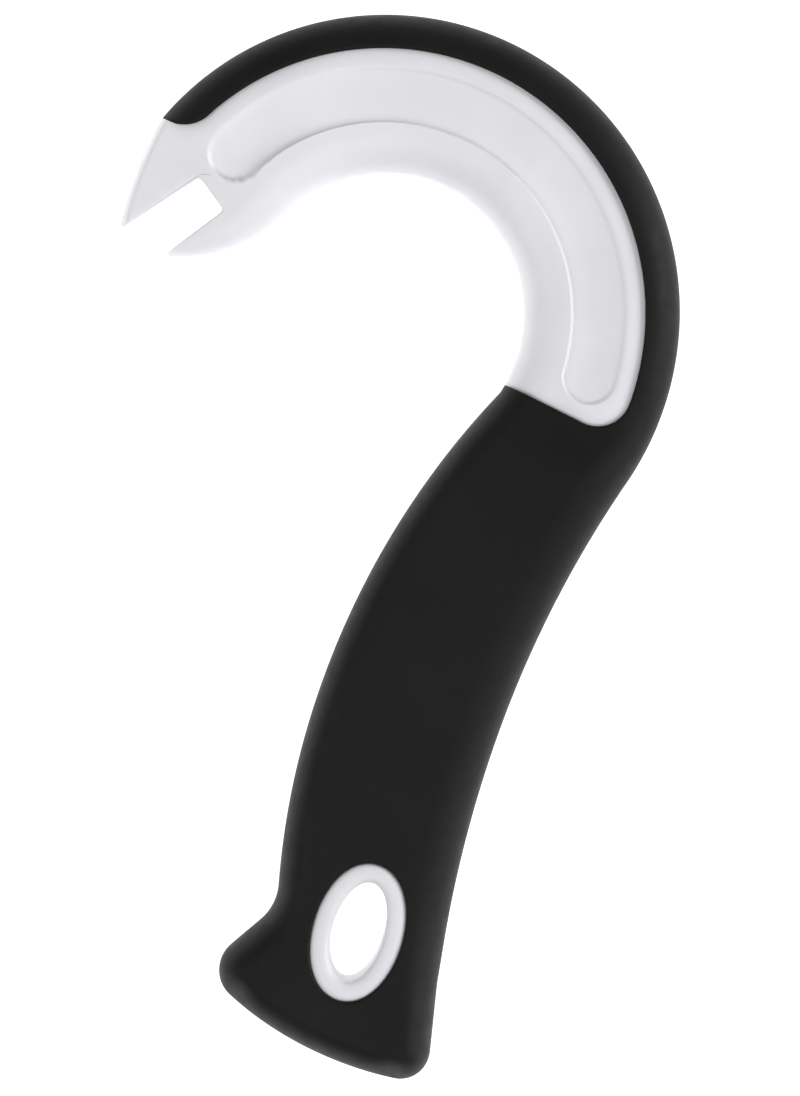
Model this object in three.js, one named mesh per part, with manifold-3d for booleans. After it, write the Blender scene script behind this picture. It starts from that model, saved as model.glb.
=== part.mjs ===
// Ring-pull opener: a J-shaped kitchen lever that slips under the ring on a can's lid and
// levers it up. A hard white core forms the forked hook and the tang inside the handle, a soft
// black grip is moulded over the hook's back and the handle, and an oval eyelet lines the
// hanging hole.
//
// Millimetres and degrees. The outline is drawn about the bow centre (the middle of the hook's
// round opening), +X right, +Y towards the hook's crown, with the tool's middle plane at z = 0.
// The finished group is shifted so that the tool lies on z = 0, centred on its own outline.

import * as THREE from "three";
import { mergeVertices } from "three/addons/utils/BufferGeometryUtils.js";
import Module from "manifold-3d";

const wasm = await Module();
wasm.setup();

// ---- driving dimensions -----------------------------------------------------------------------

// Hook, in polar form about the bow centre. Both edges open out towards the throat.
const BOW_RADIUS = 21.7; // inside edge at the crown
const BOW_GROWTH = 2.1; // added to the inside edge by the throat
const BOW_ROUND_TO = 110; // angle at which the inside edge starts to open out
const BACK_RADIUS = 47.8; // outside edge beside the fork
const BACK_GROWTH = 1.65; // added to the outside edge by the throat, with the cube of the turn
const HOOK_RADIUS = 35.6; // centreline, which runs on into the handle
const THROAT_ANGLE = -37; // the hook's curve ends here and the handle begins
const TONGUE_ANGLE = 140; // the soft back ends here, beside the fork

// Fork
const FLARE_ANGLE = 134.5; // the inside edge turns outwards here, along the lower prong
const FLARE_RADIUS = 26;
const FLARE_SWEEP = 49;
const UPPER_TIP_ANGLE = 163.4;
const UPPER_TIP_INSET = 2.4; // how far the upper tip lies inside the back's radius
const UPPER_PRONG_BOW = 1.3; // outward bow of the upper prong's outer edge
const SLOT_WIDTH = 7; // takes the ring of a can
const SLOT_ANGLE = 147.2; // middle of the slot's floor
const SLOT_FROM_BACK = 14.1;
const SLOT_TURN = 21.3; // outward turn of the slot from the hook's own direction
const SLOT_FLARE = 2.5; // outward lean of its outer side
const SLOT_CORNER = 0.7;

// Hook's cross-section
const HEAD_THICKNESS = 12;
const PRONG_TIP_THICKNESS = 5.2;
const SPINE_WIDTH = 5.6; // width of the soft back on each face, at both its ends
const SPINE_SWELL = 0.62; // added to it halfway
const SPINE_THICKNESS = 13;
const POCKET_RIM = 2.8; // hard rim between the channel and the soft back
const POCKET_WIDTH = 9.3;
const POCKET_DEPTH = 1.2;
const POCKET_FROM = 134.6; // centre of the channel's round upper end
const POCKET_TO = -19.6; // centre of its round lower end

// Line where the hard head meets the soft handle
const LOBE_ANGLE = -30.4; // sharp corner that the head's lower lobe is rounded from
const LOBE_CORNER = 5.5;
const SEAM_ANGLE = -33.6; // where that line leaves the inside edge
const TONGUE_CORNER_ANGLE = 139;
const TONGUE_CORNER = 6;
const CORNER_RUN = { lobe: 1.2, tongue: 0.9 }; // corner radii kept free for each rounding
const SEAM_PAST = { bow: 0.6, tongue: 3 }; // the cut runs on past its ends by these shares

// Handle, measured along its centreline from the throat
const HANDLE_LENGTH = 112.95;
const HANDLE_THICKNESS = 15.6;
const HANDLE_BEND = 165; // radius of the centreline's counter-curve
const TAIL_TILT = 6; // lean of the straight tail
const SWELL_FROM = -42; // the grip thickens from its back's thickness to the handle's
const SWELL_TO = 8; // between these two places
const LEFT_BELLY = 15.4; // half widths at the widest places
const LEFT_BELLY_AT = 57;
const RIGHT_BELLY = 14.9;
const RIGHT_BELLY_AT = 48;
const LEFT_TAIL = 13.3; // half widths at the tail
const RIGHT_TAIL = 13.35;
const TAIL_AT = 96;

// Heel and tail end, measured back from the end of the handle
const HEEL_RAMP = 26.9; // where the heel starts to leave the handle's edge
const HEEL_LEAD = 4.8; // even stretch of edge before the ramp's fillet
const HEEL_FILLET = 7;
const HEEL_BACK = 15.3;
const HEEL_REACH = 25.6; // sharp heel corner, out from the centreline
const HEEL_CORNER = 5.6;
const TAIL_CORNER = 5;
const TAIL_BOW_BACK = 2.8; // control point of the tail's bowed end
const TAIL_BOW_OUT = 8.2;

// Edge rounding, measured in from the silhouette
const INNER_ROUND = 7; // hook's inside edge
const PRONG_ROUND = 1.6;
const SPINE_ROUND = 6.2;
const LEFT_ROUND = 5.2;
const RIGHT_ROUND = 7.6;
const TAIL_ROUND = 5;

// Hanging eyelet
const EYELET_BACK = 24.5; // centre, back from the end of the handle
const EYELET_OUT = 0.5; // and left of the centreline
const EYELET_TURN = 10.5; // turn of its long axis from the handle's
const EYELET_HOLE_LONG = 8.35; // half sizes of the oval hole
const EYELET_HOLE_SHORT = 4.25;
const EYELET_WALL = 3.25;
const EYELET_SUNK = 0.2; // each end lies this far below the grip's face

// Skeleton of the core under the soft grip
const SPINE_COVER = 2.4; // soft wall outside the skeleton on the hook's back
const HANDLE_COVER = 6.2; // and in the handle
const COVER_RUN = 31; // it thickens from the one to the other over this length
const SPINE_RIB = 6.4; // thickness under the soft back
const TANG_THICKNESS = 8.4;
const TANG_WEB = 3; // middle web of the I-shaped tang
const TANG_RIM = 2.6; // width of its edge ribs and of its ring round the eyelet
const TANG_STOP = 8; // tang ends this far before the tail
const TANG_SHOULDER = 6; // tang reaches its full width this far past the throat
const RIB_END_ANGLE = 12; // rib under the soft back ends this far short of the tongue
const RIB_RUN_OUT = 20; // and this far down the handle
const BAY_COUNT = 4; // recesses along the tang
const BAY_FROM = 8;
const BAY_END_GAP = 15.5; // last recess ends this far before the eyelet's centre
const BAY_RIB = 2.4; // cross ribs between recesses
const KEY_RADIUS = 3; // holes in the web that lock the grip to the tang

const CLEARANCE = 0.3;
const FINE = { fork: 12, hook: 34, handle: 18, tail: 13, seam: 36, rib: 30, channel: 30, oval: 48 };
const EDGE_LIMIT = 0.48; // a rounded edge takes at most this share of the width
const EDGE_STEPS = 4; // columns in each rounded edge
const FAR = 4 * BACK_RADIUS; // beyond everything, for cutting shapes

// ---- small tools ------------------------------------------------------------------------------

const radians = THREE.MathUtils.degToRad;
const degrees = THREE.MathUtils.radToDeg;
const lerp = THREE.MathUtils.lerp;
const vec = (x, y) => new THREE.Vector2(x, y);
const polar = (angle, radius) => vec(Math.cos(radians(angle)), Math.sin(radians(angle)))
  .multiplyScalar(radius);
const steps = (count) => Array.from({ length: count + 1 }, (_, i) => i / count);
const ease = (x) => THREE.MathUtils.smoothstep(x, 0, 1);

/** Height factor of a quarter-round edge, at a distance in from the edge. */
function edgeRound(distance, radius) {
  return distance >= radius ? 1 : Math.sqrt(1 - (1 - distance / radius) ** 2);
}

/** Arc that rounds the corner between a and c at b, from tangent point to tangent point. */
function roundCorner(a, b, c, radius, count) {
  const back = a.clone().sub(b).normalize();
  const ahead = c.clone().sub(b).normalize();
  const half = Math.acos(THREE.MathUtils.clamp(back.dot(ahead), -1, 1)) / 2;
  const centre = back.clone().add(ahead).setLength(radius / Math.sin(half)).add(b);
  const turn = (Math.PI - 2 * half) * Math.sign(ahead.cross(back));
  const from = back.multiplyScalar(radius / Math.tan(half)).add(b).sub(centre);
  return steps(count).map((f) => from.clone().rotateAround(vec(0, 0), turn * f).add(centre));
}

/** The same line moved sideways, to the left of its direction. */
function offsetLine(points, distance) {
  return points.map((point, i) => {
    const before = points[Math.max(i - 1, 0)];
    const after = points[Math.min(i + 1, points.length - 1)];
    const along = after.clone().sub(before).normalize();
    return vec(point.x - along.y * distance, point.y + along.x * distance);
  });
}

/** Points at even fractions of a line's length, warped by the given function. */
function resample(points, fractions) {
  const reach = [0];
  for (let i = 1; i < points.length; i += 1) reach.push(reach[i - 1] + points[i].distanceTo(points[i - 1]));
  const total = reach[reach.length - 1];
  return fractions.map((fraction) => {
    const target = fraction * total;
    let i = 1;
    while (i < points.length - 1 && reach[i] < target) i += 1;
    const part = (target - reach[i - 1]) / (reach[i] - reach[i - 1]);
    return points[i - 1].clone().lerp(points[i], part);
  });
}

/** Manifold solid from a closed three.js geometry. */
function solidOf(geometry) {
  const bare = new THREE.BufferGeometry().setAttribute("position", geometry.getAttribute("position"));
  bare.setIndex(geometry.getIndex());
  const merged = mergeVertices(bare, 1e-4);
  return new wasm.Manifold(new wasm.Mesh({
    numProp: 3,
    vertProperties: new Float32Array(merged.getAttribute("position").array),
    triVerts: new Uint32Array(merged.getIndex().array),
  }));
}

function geometryOf(solid) {
  const mesh = solid.getMesh();
  const geometry = new THREE.BufferGeometry();
  geometry.setAttribute("position", new THREE.BufferAttribute(new Float32Array(mesh.vertProperties), 3));
  geometry.setIndex(new THREE.BufferAttribute(new Uint32Array(mesh.triVerts), 1));
  geometry.computeVertexNormals();
  return geometry;
}

/** Straight-sided solid over an outline, from one height to another. */
function prism(outline, low, high) {
  const shape = new THREE.Shape(outline);
  const geometry = new THREE.ExtrudeGeometry(shape, { depth: high - low, bevelEnabled: false });
  geometry.translate(0, 0, low);
  return solidOf(geometry);
}

const joined = (solids) => solids.reduce((whole, solid) => whole.add(solid));

// ---- outline ----------------------------------------------------------------------------------

/** 0 beside the fork, 1 at the throat. */
const towardsThroat = (angle) => (TONGUE_ANGLE - angle) / (TONGUE_ANGLE - THROAT_ANGLE);

const backRadius = (angle) => BACK_RADIUS + BACK_GROWTH * Math.max(towardsThroat(angle), 0) ** 3;

/** Radius of the seam beside the soft back, whose width swells halfway along the hook. */
function spineRadius(angle) {
  const along = towardsThroat(angle);
  return backRadius(angle) - SPINE_WIDTH - SPINE_SWELL * 4 * along * (1 - along);
}

function bowRadius(angle) {
  const open = Math.max(BOW_ROUND_TO - angle, 0) / (BOW_ROUND_TO - THROAT_ANGLE);
  return BOW_RADIUS + BOW_GROWTH * open ** 2;
}

/** Handle centreline: a counter-curve from the throat that straightens out at the tail's tilt. */
function handlePlace(along, left) {
  const tiltAtThroat = radians(-THROAT_ANGLE);
  const tiltAtTail = radians(TAIL_TILT);
  const curved = Math.min(along, HANDLE_BEND * (tiltAtThroat - tiltAtTail));
  const tilt = tiltAtThroat - curved / HANDLE_BEND;
  const start = polar(THROAT_ANGLE, HOOK_RADIUS);
  const bend = vec(Math.cos(tilt) - Math.cos(tiltAtThroat), Math.sin(tiltAtThroat) - Math.sin(tilt));
  const straight = along - curved;
  return vec(
    start.x - HANDLE_BEND * bend.x - straight * Math.sin(tilt) - left * Math.cos(tilt),
    start.y - HANDLE_BEND * bend.y - straight * Math.cos(tilt) + left * Math.sin(tilt),
  );
}

/** Half width that swells from the throat to a belly and slims again to the tail. */
function bellyWidth(along, throat, belly, bellyAt, tail) {
  const before = along < bellyAt;
  const drop = before ? belly - throat : belly - tail;
  const span = before ? bellyAt : TAIL_AT - bellyAt;
  return belly - drop * ((along - bellyAt) / span) ** 2;
}

const leftWidth = (along) => bellyWidth(
  Math.min(along, TAIL_AT), HOOK_RADIUS - bowRadius(THROAT_ANGLE), LEFT_BELLY, LEFT_BELLY_AT, LEFT_TAIL,
);
const rightWidth = (along) => bellyWidth(
  Math.min(along, TAIL_AT), backRadius(THROAT_ANGLE) - HOOK_RADIUS, RIGHT_BELLY, RIGHT_BELLY_AT, RIGHT_TAIL,
);

/** Edges of the fork, from the tips back to the flare: the upper prong's and the lower prong's. */
function forkRails() {
  const flareStart = polar(FLARE_ANGLE, bowRadius(FLARE_ANGLE));
  const flareCentre = polar(FLARE_ANGLE, bowRadius(FLARE_ANGLE) + FLARE_RADIUS);
  const inner = steps(24).reverse()
    .map((f) => flareStart.clone().rotateAround(flareCentre, -radians(FLARE_SWEEP) * f));
  const tongue = polar(TONGUE_ANGLE, backRadius(TONGUE_ANGLE));
  const tip = polar(UPPER_TIP_ANGLE, backRadius(UPPER_TIP_ANGLE) - UPPER_TIP_INSET);
  const outward = polar((TONGUE_ANGLE + UPPER_TIP_ANGLE) / 2, UPPER_PRONG_BOW);
  const control = tongue.clone().lerp(tip, 0.5).add(outward);
  const prong = new THREE.QuadraticBezierCurve(tip, control, tongue).getPoints(16);
  const back = steps(4).slice(1).map((f) => lerp(TONGUE_ANGLE, FLARE_ANGLE, f))
    .map((angle) => polar(angle, backRadius(angle)));
  return { outer: [...prong, ...back], inner };
}

/** Edges of the heel and tail, from where the heel leaves the handle to the bowed tail end. */
function tailRails() {
  const start = HANDLE_LENGTH - HEEL_RAMP - HEEL_LEAD;
  const ramp = vec(HANDLE_LENGTH - HEEL_RAMP, leftWidth(HANDLE_LENGTH - HEEL_RAMP));
  const heel = vec(HANDLE_LENGTH - HEEL_BACK, HEEL_REACH);
  const bow = vec(HANDLE_LENGTH - TAIL_BOW_BACK, TAIL_BOW_OUT);
  const corner = vec(HANDLE_LENGTH, -rightWidth(HANDLE_LENGTH));
  const leftStart = vec(start, leftWidth(start));
  const rightStart = vec(start, -rightWidth(start));
  const left = [
    leftStart,
    ...roundCorner(leftStart, ramp, heel, HEEL_FILLET, 6),
    ...roundCorner(ramp, heel, bow, HEEL_CORNER, 10),
  ];
  const middles = steps(6).slice(1, -1).map((f) => lerp(start, corner.x, f))
    .filter((along) => along < corner.x - TAIL_CORNER);
  const right = [
    rightStart,
    ...middles.map((along) => vec(along, -rightWidth(along))),
    ...roundCorner(rightStart, corner, bow, TAIL_CORNER, 8),
  ];
  const place = (point) => handlePlace(point.x, point.y);
  return { start, left: left.map(place), right: right.map(place), bow: place(bow) };
}

/**
 * Rows across the whole tool, from the fork's tips to the tail. Each has its two ends on the
 * silhouette, the zone it lies in, its fraction of that zone and the distance left to the tool's
 * nearer end.
 */
function silhouetteRows() {
  const rows = [];
  const fork = forkRails();
  const forkSteps = steps(FINE.fork).map((x) => 1 - Math.cos((x * Math.PI) / 2));
  const forkOuter = resample(fork.outer, forkSteps);
  const forkInner = resample(fork.inner, forkSteps);
  const forkReach = new THREE.CatmullRomCurve3(
    forkInner.map((point) => new THREE.Vector3(point.x, point.y, 0)),
  ).getLength();
  forkSteps.slice(0, -1).forEach((fraction, i) => rows.push({
    zone: "fork", fraction, outer: forkOuter[i], inner: forkInner[i], end: fraction * forkReach,
  }));
  steps(FINE.hook).slice(0, -1).forEach((fraction) => {
    const angle = lerp(FLARE_ANGLE, THROAT_ANGLE, fraction);
    rows.push({
      zone: "hook", angle, fraction, end: FAR,
      outer: polar(angle, backRadius(angle)), inner: polar(angle, bowRadius(angle)),
    });
  });
  const tail = tailRails();
  steps(FINE.handle).slice(0, -1).forEach((fraction) => {
    const along = tail.start * fraction;
    rows.push({
      zone: "handle", along, fraction, end: FAR,
      outer: handlePlace(along, -rightWidth(along)), inner: handlePlace(along, leftWidth(along)),
    });
  });
  const tailSteps = steps(FINE.tail).map((x) => Math.sin((x * Math.PI) / 2));
  const left = resample(tail.left, tailSteps);
  const right = resample(tail.right, tailSteps);
  const reach = HANDLE_LENGTH - tail.start;
  const bulge = tail.bow.clone().multiplyScalar(2).sub(left[FINE.tail]).sub(right[FINE.tail]);
  tailSteps.forEach((fraction, i) => rows.push({
    zone: "tail", fraction, outer: right[i], inner: left[i], end: (1 - fraction) * reach,
    along: lerp(tail.start, HANDLE_LENGTH, fraction), bulge: bulge.clone().multiplyScalar(fraction ** 2),
  }));
  return rows;
}

/**
 * Closed body between the two edges of the given rows, mirrored about the middle plane.
 * The section gives half thickness and the widths of the two rounded edges for a row.
 */
function roundedBody(rows, section) {
  const across = steps(EDGE_STEPS).map((x) => 1 - Math.cos((x * Math.PI) / 2));
  const points = rows.map((row) => {
    const { half, outerRound, innerRound, endRound } = section(row);
    const width = row.outer.distanceTo(row.inner);
    const outerEdge = Math.min(outerRound / width, EDGE_LIMIT);
    const innerEdge = Math.min(innerRound / width, EDGE_LIMIT);
    const middle = steps(3).slice(1, -1).map((x) => lerp(outerEdge, 1 - innerEdge, x));
    const columns = [
      ...across.map((x) => x * outerEdge),
      ...middle,
      ...across.slice().reverse().map((x) => 1 - x * innerEdge),
    ];
    return columns.map((t) => {
      const spot = row.outer.clone().lerp(row.inner, t);
      if (row.bulge) spot.addScaledVector(row.bulge, t * (1 - t));
      const height = half * edgeRound(t, outerEdge) * edgeRound(1 - t, innerEdge)
        * edgeRound(row.end, endRound);
      return new THREE.Vector3(spot.x, spot.y, height);
    });
  });
  const last = points[0].length - 1;
  const isRim = (i, j) => i === 0 || j === 0 || i === points.length - 1 || j === last;
  const place = (i, j, side) => {
    const { x, y, z } = points[i][j];
    return [x, y, isRim(i, j) ? 0 : side * z];
  };
  const corners = [];
  for (let i = 0; i + 1 < points.length; i += 1) {
    for (let j = 0; j < last; j += 1) {
      for (const side of [1, -1]) {
        const quad = [[i, j], [i + 1, j], [i + 1, j + 1], [i, j + 1]].map((at) => place(...at, side));
        const order = side > 0 ? [0, 2, 1, 0, 3, 2] : [0, 1, 2, 0, 2, 3];
        corners.push(...order.flatMap((k) => quad[k]));
      }
    }
  }
  const geometry = new THREE.BufferGeometry();
  geometry.setAttribute("position", new THREE.Float32BufferAttribute(corners, 3));
  return solidOf(geometry);
}

// ---- shared cutting shapes --------------------------------------------------------------------

/** Line round the hanging hole, moved out from the hole's ellipse. */
function ovalOutline(out) {
  const centre = handlePlace(HANDLE_LENGTH - EYELET_BACK, EYELET_OUT);
  const turn = radians(90 - TAIL_TILT - EYELET_TURN);
  return steps(FINE.oval).slice(0, -1).map((f) => 2 * Math.PI * f).map((angle) => {
    const onHole = vec(EYELET_HOLE_LONG * Math.cos(angle), EYELET_HOLE_SHORT * Math.sin(angle));
    const normal = vec(Math.cos(angle) / EYELET_HOLE_LONG, Math.sin(angle) / EYELET_HOLE_SHORT).normalize();
    return onHole.addScaledVector(normal, out).rotateAround(vec(0, 0), turn).add(centre);
  });
}

/** Line between the hard head and the soft grip, from inside the bow round to past the tongue. */
function seamLine() {
  const inner = polar(SEAM_ANGLE, bowRadius(SEAM_ANGLE));
  const lobe = polar(LOBE_ANGLE, spineRadius(LOBE_ANGLE));
  const intoBow = inner.clone().lerp(lobe, -SEAM_PAST.bow);
  const tongueCorner = polar(TONGUE_CORNER_ANGLE, spineRadius(TONGUE_CORNER_ANGLE));
  const tongueTip = polar(TONGUE_ANGLE, backRadius(TONGUE_ANGLE));
  const beyond = tongueCorner.clone().lerp(tongueTip, SEAM_PAST.tongue);
  const arcFrom = LOBE_ANGLE + degrees((CORNER_RUN.lobe * LOBE_CORNER) / lobe.length());
  const arcTo = TONGUE_CORNER_ANGLE - degrees((CORNER_RUN.tongue * TONGUE_CORNER) / tongueCorner.length());
  const arc = steps(FINE.seam).map((f) => lerp(arcFrom, arcTo, f))
    .map((angle) => polar(angle, spineRadius(angle)));
  return [
    intoBow,
    ...roundCorner(intoBow, lobe, arc[0], LOBE_CORNER, 8),
    ...arc.slice(1, -1),
    ...roundCorner(arc[arc.length - 1], tongueCorner, beyond, TONGUE_CORNER, 5),
    beyond,
  ];
}

/** Everything on the head's side of the seam, drawn back from it by the gap. */
function headRegion(gap) {
  const line = offsetLine(seamLine(), gap);
  const outline = [...line, vec(-FAR, line[line.length - 1].y), vec(-FAR, 0), vec(0, 0)];
  return prism(outline, -FAR, FAR);
}

/** Soft wall that covers the skeleton, thin on the hook's back and thick in the handle. */
const coverAt = (along) => lerp(SPINE_COVER, HANDLE_COVER, ease(along / COVER_RUN));

/** Outline of the thin rib under the soft back, moved out all round by grow. */
function ribOutline(grow) {
  const from = TONGUE_ANGLE - RIB_END_ANGLE + degrees(grow / BACK_RADIUS);
  const outerHook = steps(FINE.rib).map((f) => lerp(from, THROAT_ANGLE, f))
    .map((angle) => polar(angle, backRadius(angle) - SPINE_COVER + grow));
  const alongs = steps(5).slice(1).map((f) => f * RIB_RUN_OUT);
  const outerHandle = alongs.map((along) => handlePlace(along, -rightWidth(along) + coverAt(along) - grow));
  const insideHook = steps(FINE.rib).map((f) => lerp(SEAM_ANGLE / 2, from, f))
    .map((angle) => polar(angle, spineRadius(angle) - POCKET_RIM / 2));
  return [...outerHook, ...outerHandle, handlePlace(RIB_RUN_OUT, 0), ...insideHook];
}

/** Outline of the tang, from inside the head to short of the tail, moved out all round by grow. */
function tangOutline(grow) {
  const stop = HANDLE_LENGTH - TANG_STOP + grow;
  const rightAlongs = steps(11).map((f) => lerp(TANG_SHOULDER, stop, f));
  const leftAlongs = steps(12).reverse().map((f) => f * stop);
  return [
    polar(SEAM_ANGLE / 2, HOOK_RADIUS + TANG_SHOULDER / 2 + grow),
    ...rightAlongs.map((along) => handlePlace(along, -rightWidth(along) + coverAt(along) - grow)),
    ...leftAlongs.map((along) => handlePlace(along, leftWidth(along) - HANDLE_COVER + grow)),
    polar(SEAM_ANGLE / 2, HOOK_RADIUS - leftWidth(0) + HANDLE_COVER - grow),
  ];
}

/** Outline of one recess of the tang, between two places along it, drawn in by shrink. */
function bayOutline(from, to, shrink) {
  const alongs = steps(4).map((f) => lerp(from + shrink, to - shrink, f));
  const inset = HANDLE_COVER + TANG_RIM + shrink;
  return [
    ...alongs.map((along) => handlePlace(along, -rightWidth(along) + coverAt(along) + TANG_RIM + shrink)),
    ...alongs.slice().reverse().map((along) => handlePlace(along, leftWidth(along) - inset)),
  ];
}

/** Skeleton of the core. A grown one is the hollow that it leaves in the soft grip. */
function skeleton(grow) {
  const rib = SPINE_RIB / 2 + grow;
  const tang = TANG_THICKNESS / 2 + grow;
  const web = TANG_WEB / 2 + grow;
  const eyeletRing = prism(ovalOutline(EYELET_WALL + CLEARANCE + TANG_RIM + grow), -tang, tang);
  const plate = joined([
    prism(ribOutline(grow), -rib, rib), prism(tangOutline(grow), -tang, tang), eyeletRing,
  ]);
  const baysEnd = HANDLE_LENGTH - EYELET_BACK - BAY_END_GAP;
  const pitch = (baysEnd - BAY_FROM) / BAY_COUNT;
  const cuts = Array.from({ length: BAY_COUNT }, (_, k) => BAY_FROM + k * pitch).flatMap((from) => {
    const to = from + pitch - BAY_RIB;
    const outlineOfBay = bayOutline(from, to, grow);
    const centre = handlePlace((from + to) / 2, 0);
    const keyHole = new THREE.CylinderGeometry(KEY_RADIUS - grow, KEY_RADIUS - grow, 4 * TANG_WEB, 24);
    keyHole.rotateX(Math.PI / 2).translate(centre.x, centre.y, 0);
    return [prism(outlineOfBay, web, FAR), prism(outlineOfBay, -FAR, -web), solidOf(keyHole)];
  });
  return plate.subtract(joined(cuts));
}

/** Ring-pull slot between the prongs. Its open end lies well past their tips. */
function forkSlot() {
  const direction = SLOT_ANGLE + 90 - SLOT_TURN;
  const floor = polar(SLOT_ANGLE, backRadius(SLOT_ANGLE) - SLOT_FROM_BACK);
  const side = polar(direction + 90, SLOT_WIDTH / 2);
  const inner = floor.clone().add(side);
  const outer = floor.clone().sub(side);
  const innerEnd = inner.clone().add(polar(direction, BACK_RADIUS / 2));
  const outerEnd = outer.clone().add(polar(direction - SLOT_FLARE, BACK_RADIUS / 2));
  const outline = [
    outerEnd,
    ...roundCorner(outerEnd, outer, inner, SLOT_CORNER, 4),
    ...roundCorner(outer, inner, innerEnd, SLOT_CORNER, 4),
    innerEnd,
  ].reverse();
  return prism(outline, -FAR, FAR);
}

/** Channel with round ends that follows the hook, as a pair of cuts into the two faces. */
function channels() {
  const middle = (angle) => spineRadius(angle) - POCKET_RIM - POCKET_WIDTH / 2;
  const half = POCKET_WIDTH / 2;
  const edge = (side) => steps(FINE.channel).map((f) => lerp(POCKET_TO, POCKET_FROM, f))
    .map((angle) => polar(angle, middle(angle) + side * half));
  const cap = (angle, from) => steps(10).slice(1, -1)
    .map((f) => polar(angle, middle(angle)).add(polar(from + 180 * f, half)));
  const outline = [
    ...edge(1), ...cap(POCKET_FROM, POCKET_FROM), ...edge(-1).reverse(), ...cap(POCKET_TO, POCKET_TO + 180),
  ];
  const floor = HEAD_THICKNESS / 2 - POCKET_DEPTH;
  return prism(outline, floor, FAR).add(prism(outline, -FAR, -floor));
}

// ---- pieces -----------------------------------------------------------------------------------

/** Oval tube about the eyelet's axis: a ring of section points carried round the hole's ellipse. */
function ovalRing(section) {
  const walls = section.map(([out, z]) => ovalOutline(out).map((spot) => [spot.x, spot.y, z]));
  const corners = walls.flatMap((wall, j) => wall.flatMap((_, i) => {
    const next = walls[(j + 1) % walls.length];
    const k = (i + 1) % wall.length;
    return [wall[i], next[k], wall[k], wall[i], next[i], next[k]].flat();
  }));
  const geometry = new THREE.BufferGeometry();
  geometry.setAttribute("position", new THREE.Float32BufferAttribute(corners, 3));
  return solidOf(geometry);
}

/** Filled oval, for cutting the eyelet's seat. */
const ovalPlug = (out) => prism(ovalOutline(out), -FAR, FAR);

/** Forked hook with its channels, and the skeleton that runs on under the grip. */
function hookCore(rows) {
  const headRows = rows.filter((row) => row.zone === "fork" || row.zone === "hook");
  const head = roundedBody(headRows, (row) => {
    const grown = row.zone === "fork" ? row.fraction : 1;
    return {
      half: lerp(PRONG_TIP_THICKNESS, HEAD_THICKNESS, grown) / 2,
      innerRound: lerp(PRONG_ROUND, INNER_ROUND, grown),
      outerRound: PRONG_ROUND,
      endRound: PRONG_ROUND,
    };
  }).intersect(headRegion(CLEARANCE));
  return head.add(skeleton(0)).subtract(channels()).subtract(forkSlot())
    .subtract(ovalPlug(EYELET_WALL + CLEARANCE));
}

/** Soft overmould: the back of the hook and the whole handle. */
function softGrip(rows) {
  const body = roundedBody(rows, (row) => {
    const pastThroat = row.along ?? -radians(row.angle - THROAT_ANGLE) * HOOK_RADIUS;
    const grown = row.zone === "fork" ? 0 : ease((pastThroat - SWELL_FROM) / (SWELL_TO - SWELL_FROM));
    const slimmed = row.zone === "tail" ? row.fraction : 0;
    return {
      half: lerp(SPINE_THICKNESS, HANDLE_THICKNESS, grown) / 2,
      innerRound: LEFT_ROUND,
      outerRound: lerp(lerp(SPINE_ROUND, RIGHT_ROUND, grown), TAIL_ROUND, slimmed),
      endRound: TAIL_ROUND,
    };
  });
  return body.subtract(headRegion(0)).subtract(skeleton(CLEARANCE))
    .subtract(ovalPlug(EYELET_WALL + CLEARANCE));
}

/** Oval bush with rounded ends that lines the hanging hole. */
function hangingEyelet() {
  const half = HANDLE_THICKNESS / 2 - EYELET_SUNK;
  const round = EYELET_WALL / 2;
  const end = (sign) => steps(6).map((f) => {
    const turn = Math.PI * f;
    return [round - sign * round * Math.cos(turn), sign * (half - round + round * Math.sin(turn))];
  });
  return ovalRing([...end(1), ...end(-1)]);
}

// ---- assembly ---------------------------------------------------------------------------------

const rows = silhouetteRows();
const whitePlastic = new THREE.MeshStandardMaterial({ color: 0xe8e8ee, roughness: 0.38, metalness: 0 });
const softBlack = new THREE.MeshStandardMaterial({ color: 0x1f1f20, roughness: 0.62, metalness: 0 });
const eyeletWhite = new THREE.MeshStandardMaterial({ color: 0xe6e6ec, roughness: 0.4, metalness: 0 });

function mesh(name, solid, material) {
  const piece = new THREE.Mesh(geometryOf(solid), material);
  piece.name = name;
  return piece;
}

const pieces = [
  mesh("hook_core", hookCore(rows), whitePlastic),
  mesh("soft_grip", softGrip(rows), softBlack),
  mesh("hanging_eyelet", hangingEyelet(), eyeletWhite),
];

const outlineBox = new THREE.Box2().setFromPoints(rows.flatMap((row) => [row.outer, row.inner]));
const middle = outlineBox.getCenter(vec(0, 0));

const group = new THREE.Group();
group.name = "ring_pull_opener";
group.add(...pieces);
group.position.set(-middle.x, -middle.y, HANDLE_THICKNESS / 2);

export default group;
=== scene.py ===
"""Looks of a ring-pull opener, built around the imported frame.

The tool is a J-shaped kitchen lever: a hard white hook with a forked tip and a channel along its
curve, a soft black grip moulded over the hook's back and the handle, and a white oval eyelet that
lines the hanging hole. Shapes are worked out in millimetres about the bow centre, the middle of
the hook's round opening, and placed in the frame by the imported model's own box.
"""

import logging
from dataclasses import dataclass, field
from enum import Enum

import bmesh
import bpy
import numpy as np
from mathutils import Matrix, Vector
from numpy.typing import NDArray


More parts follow.
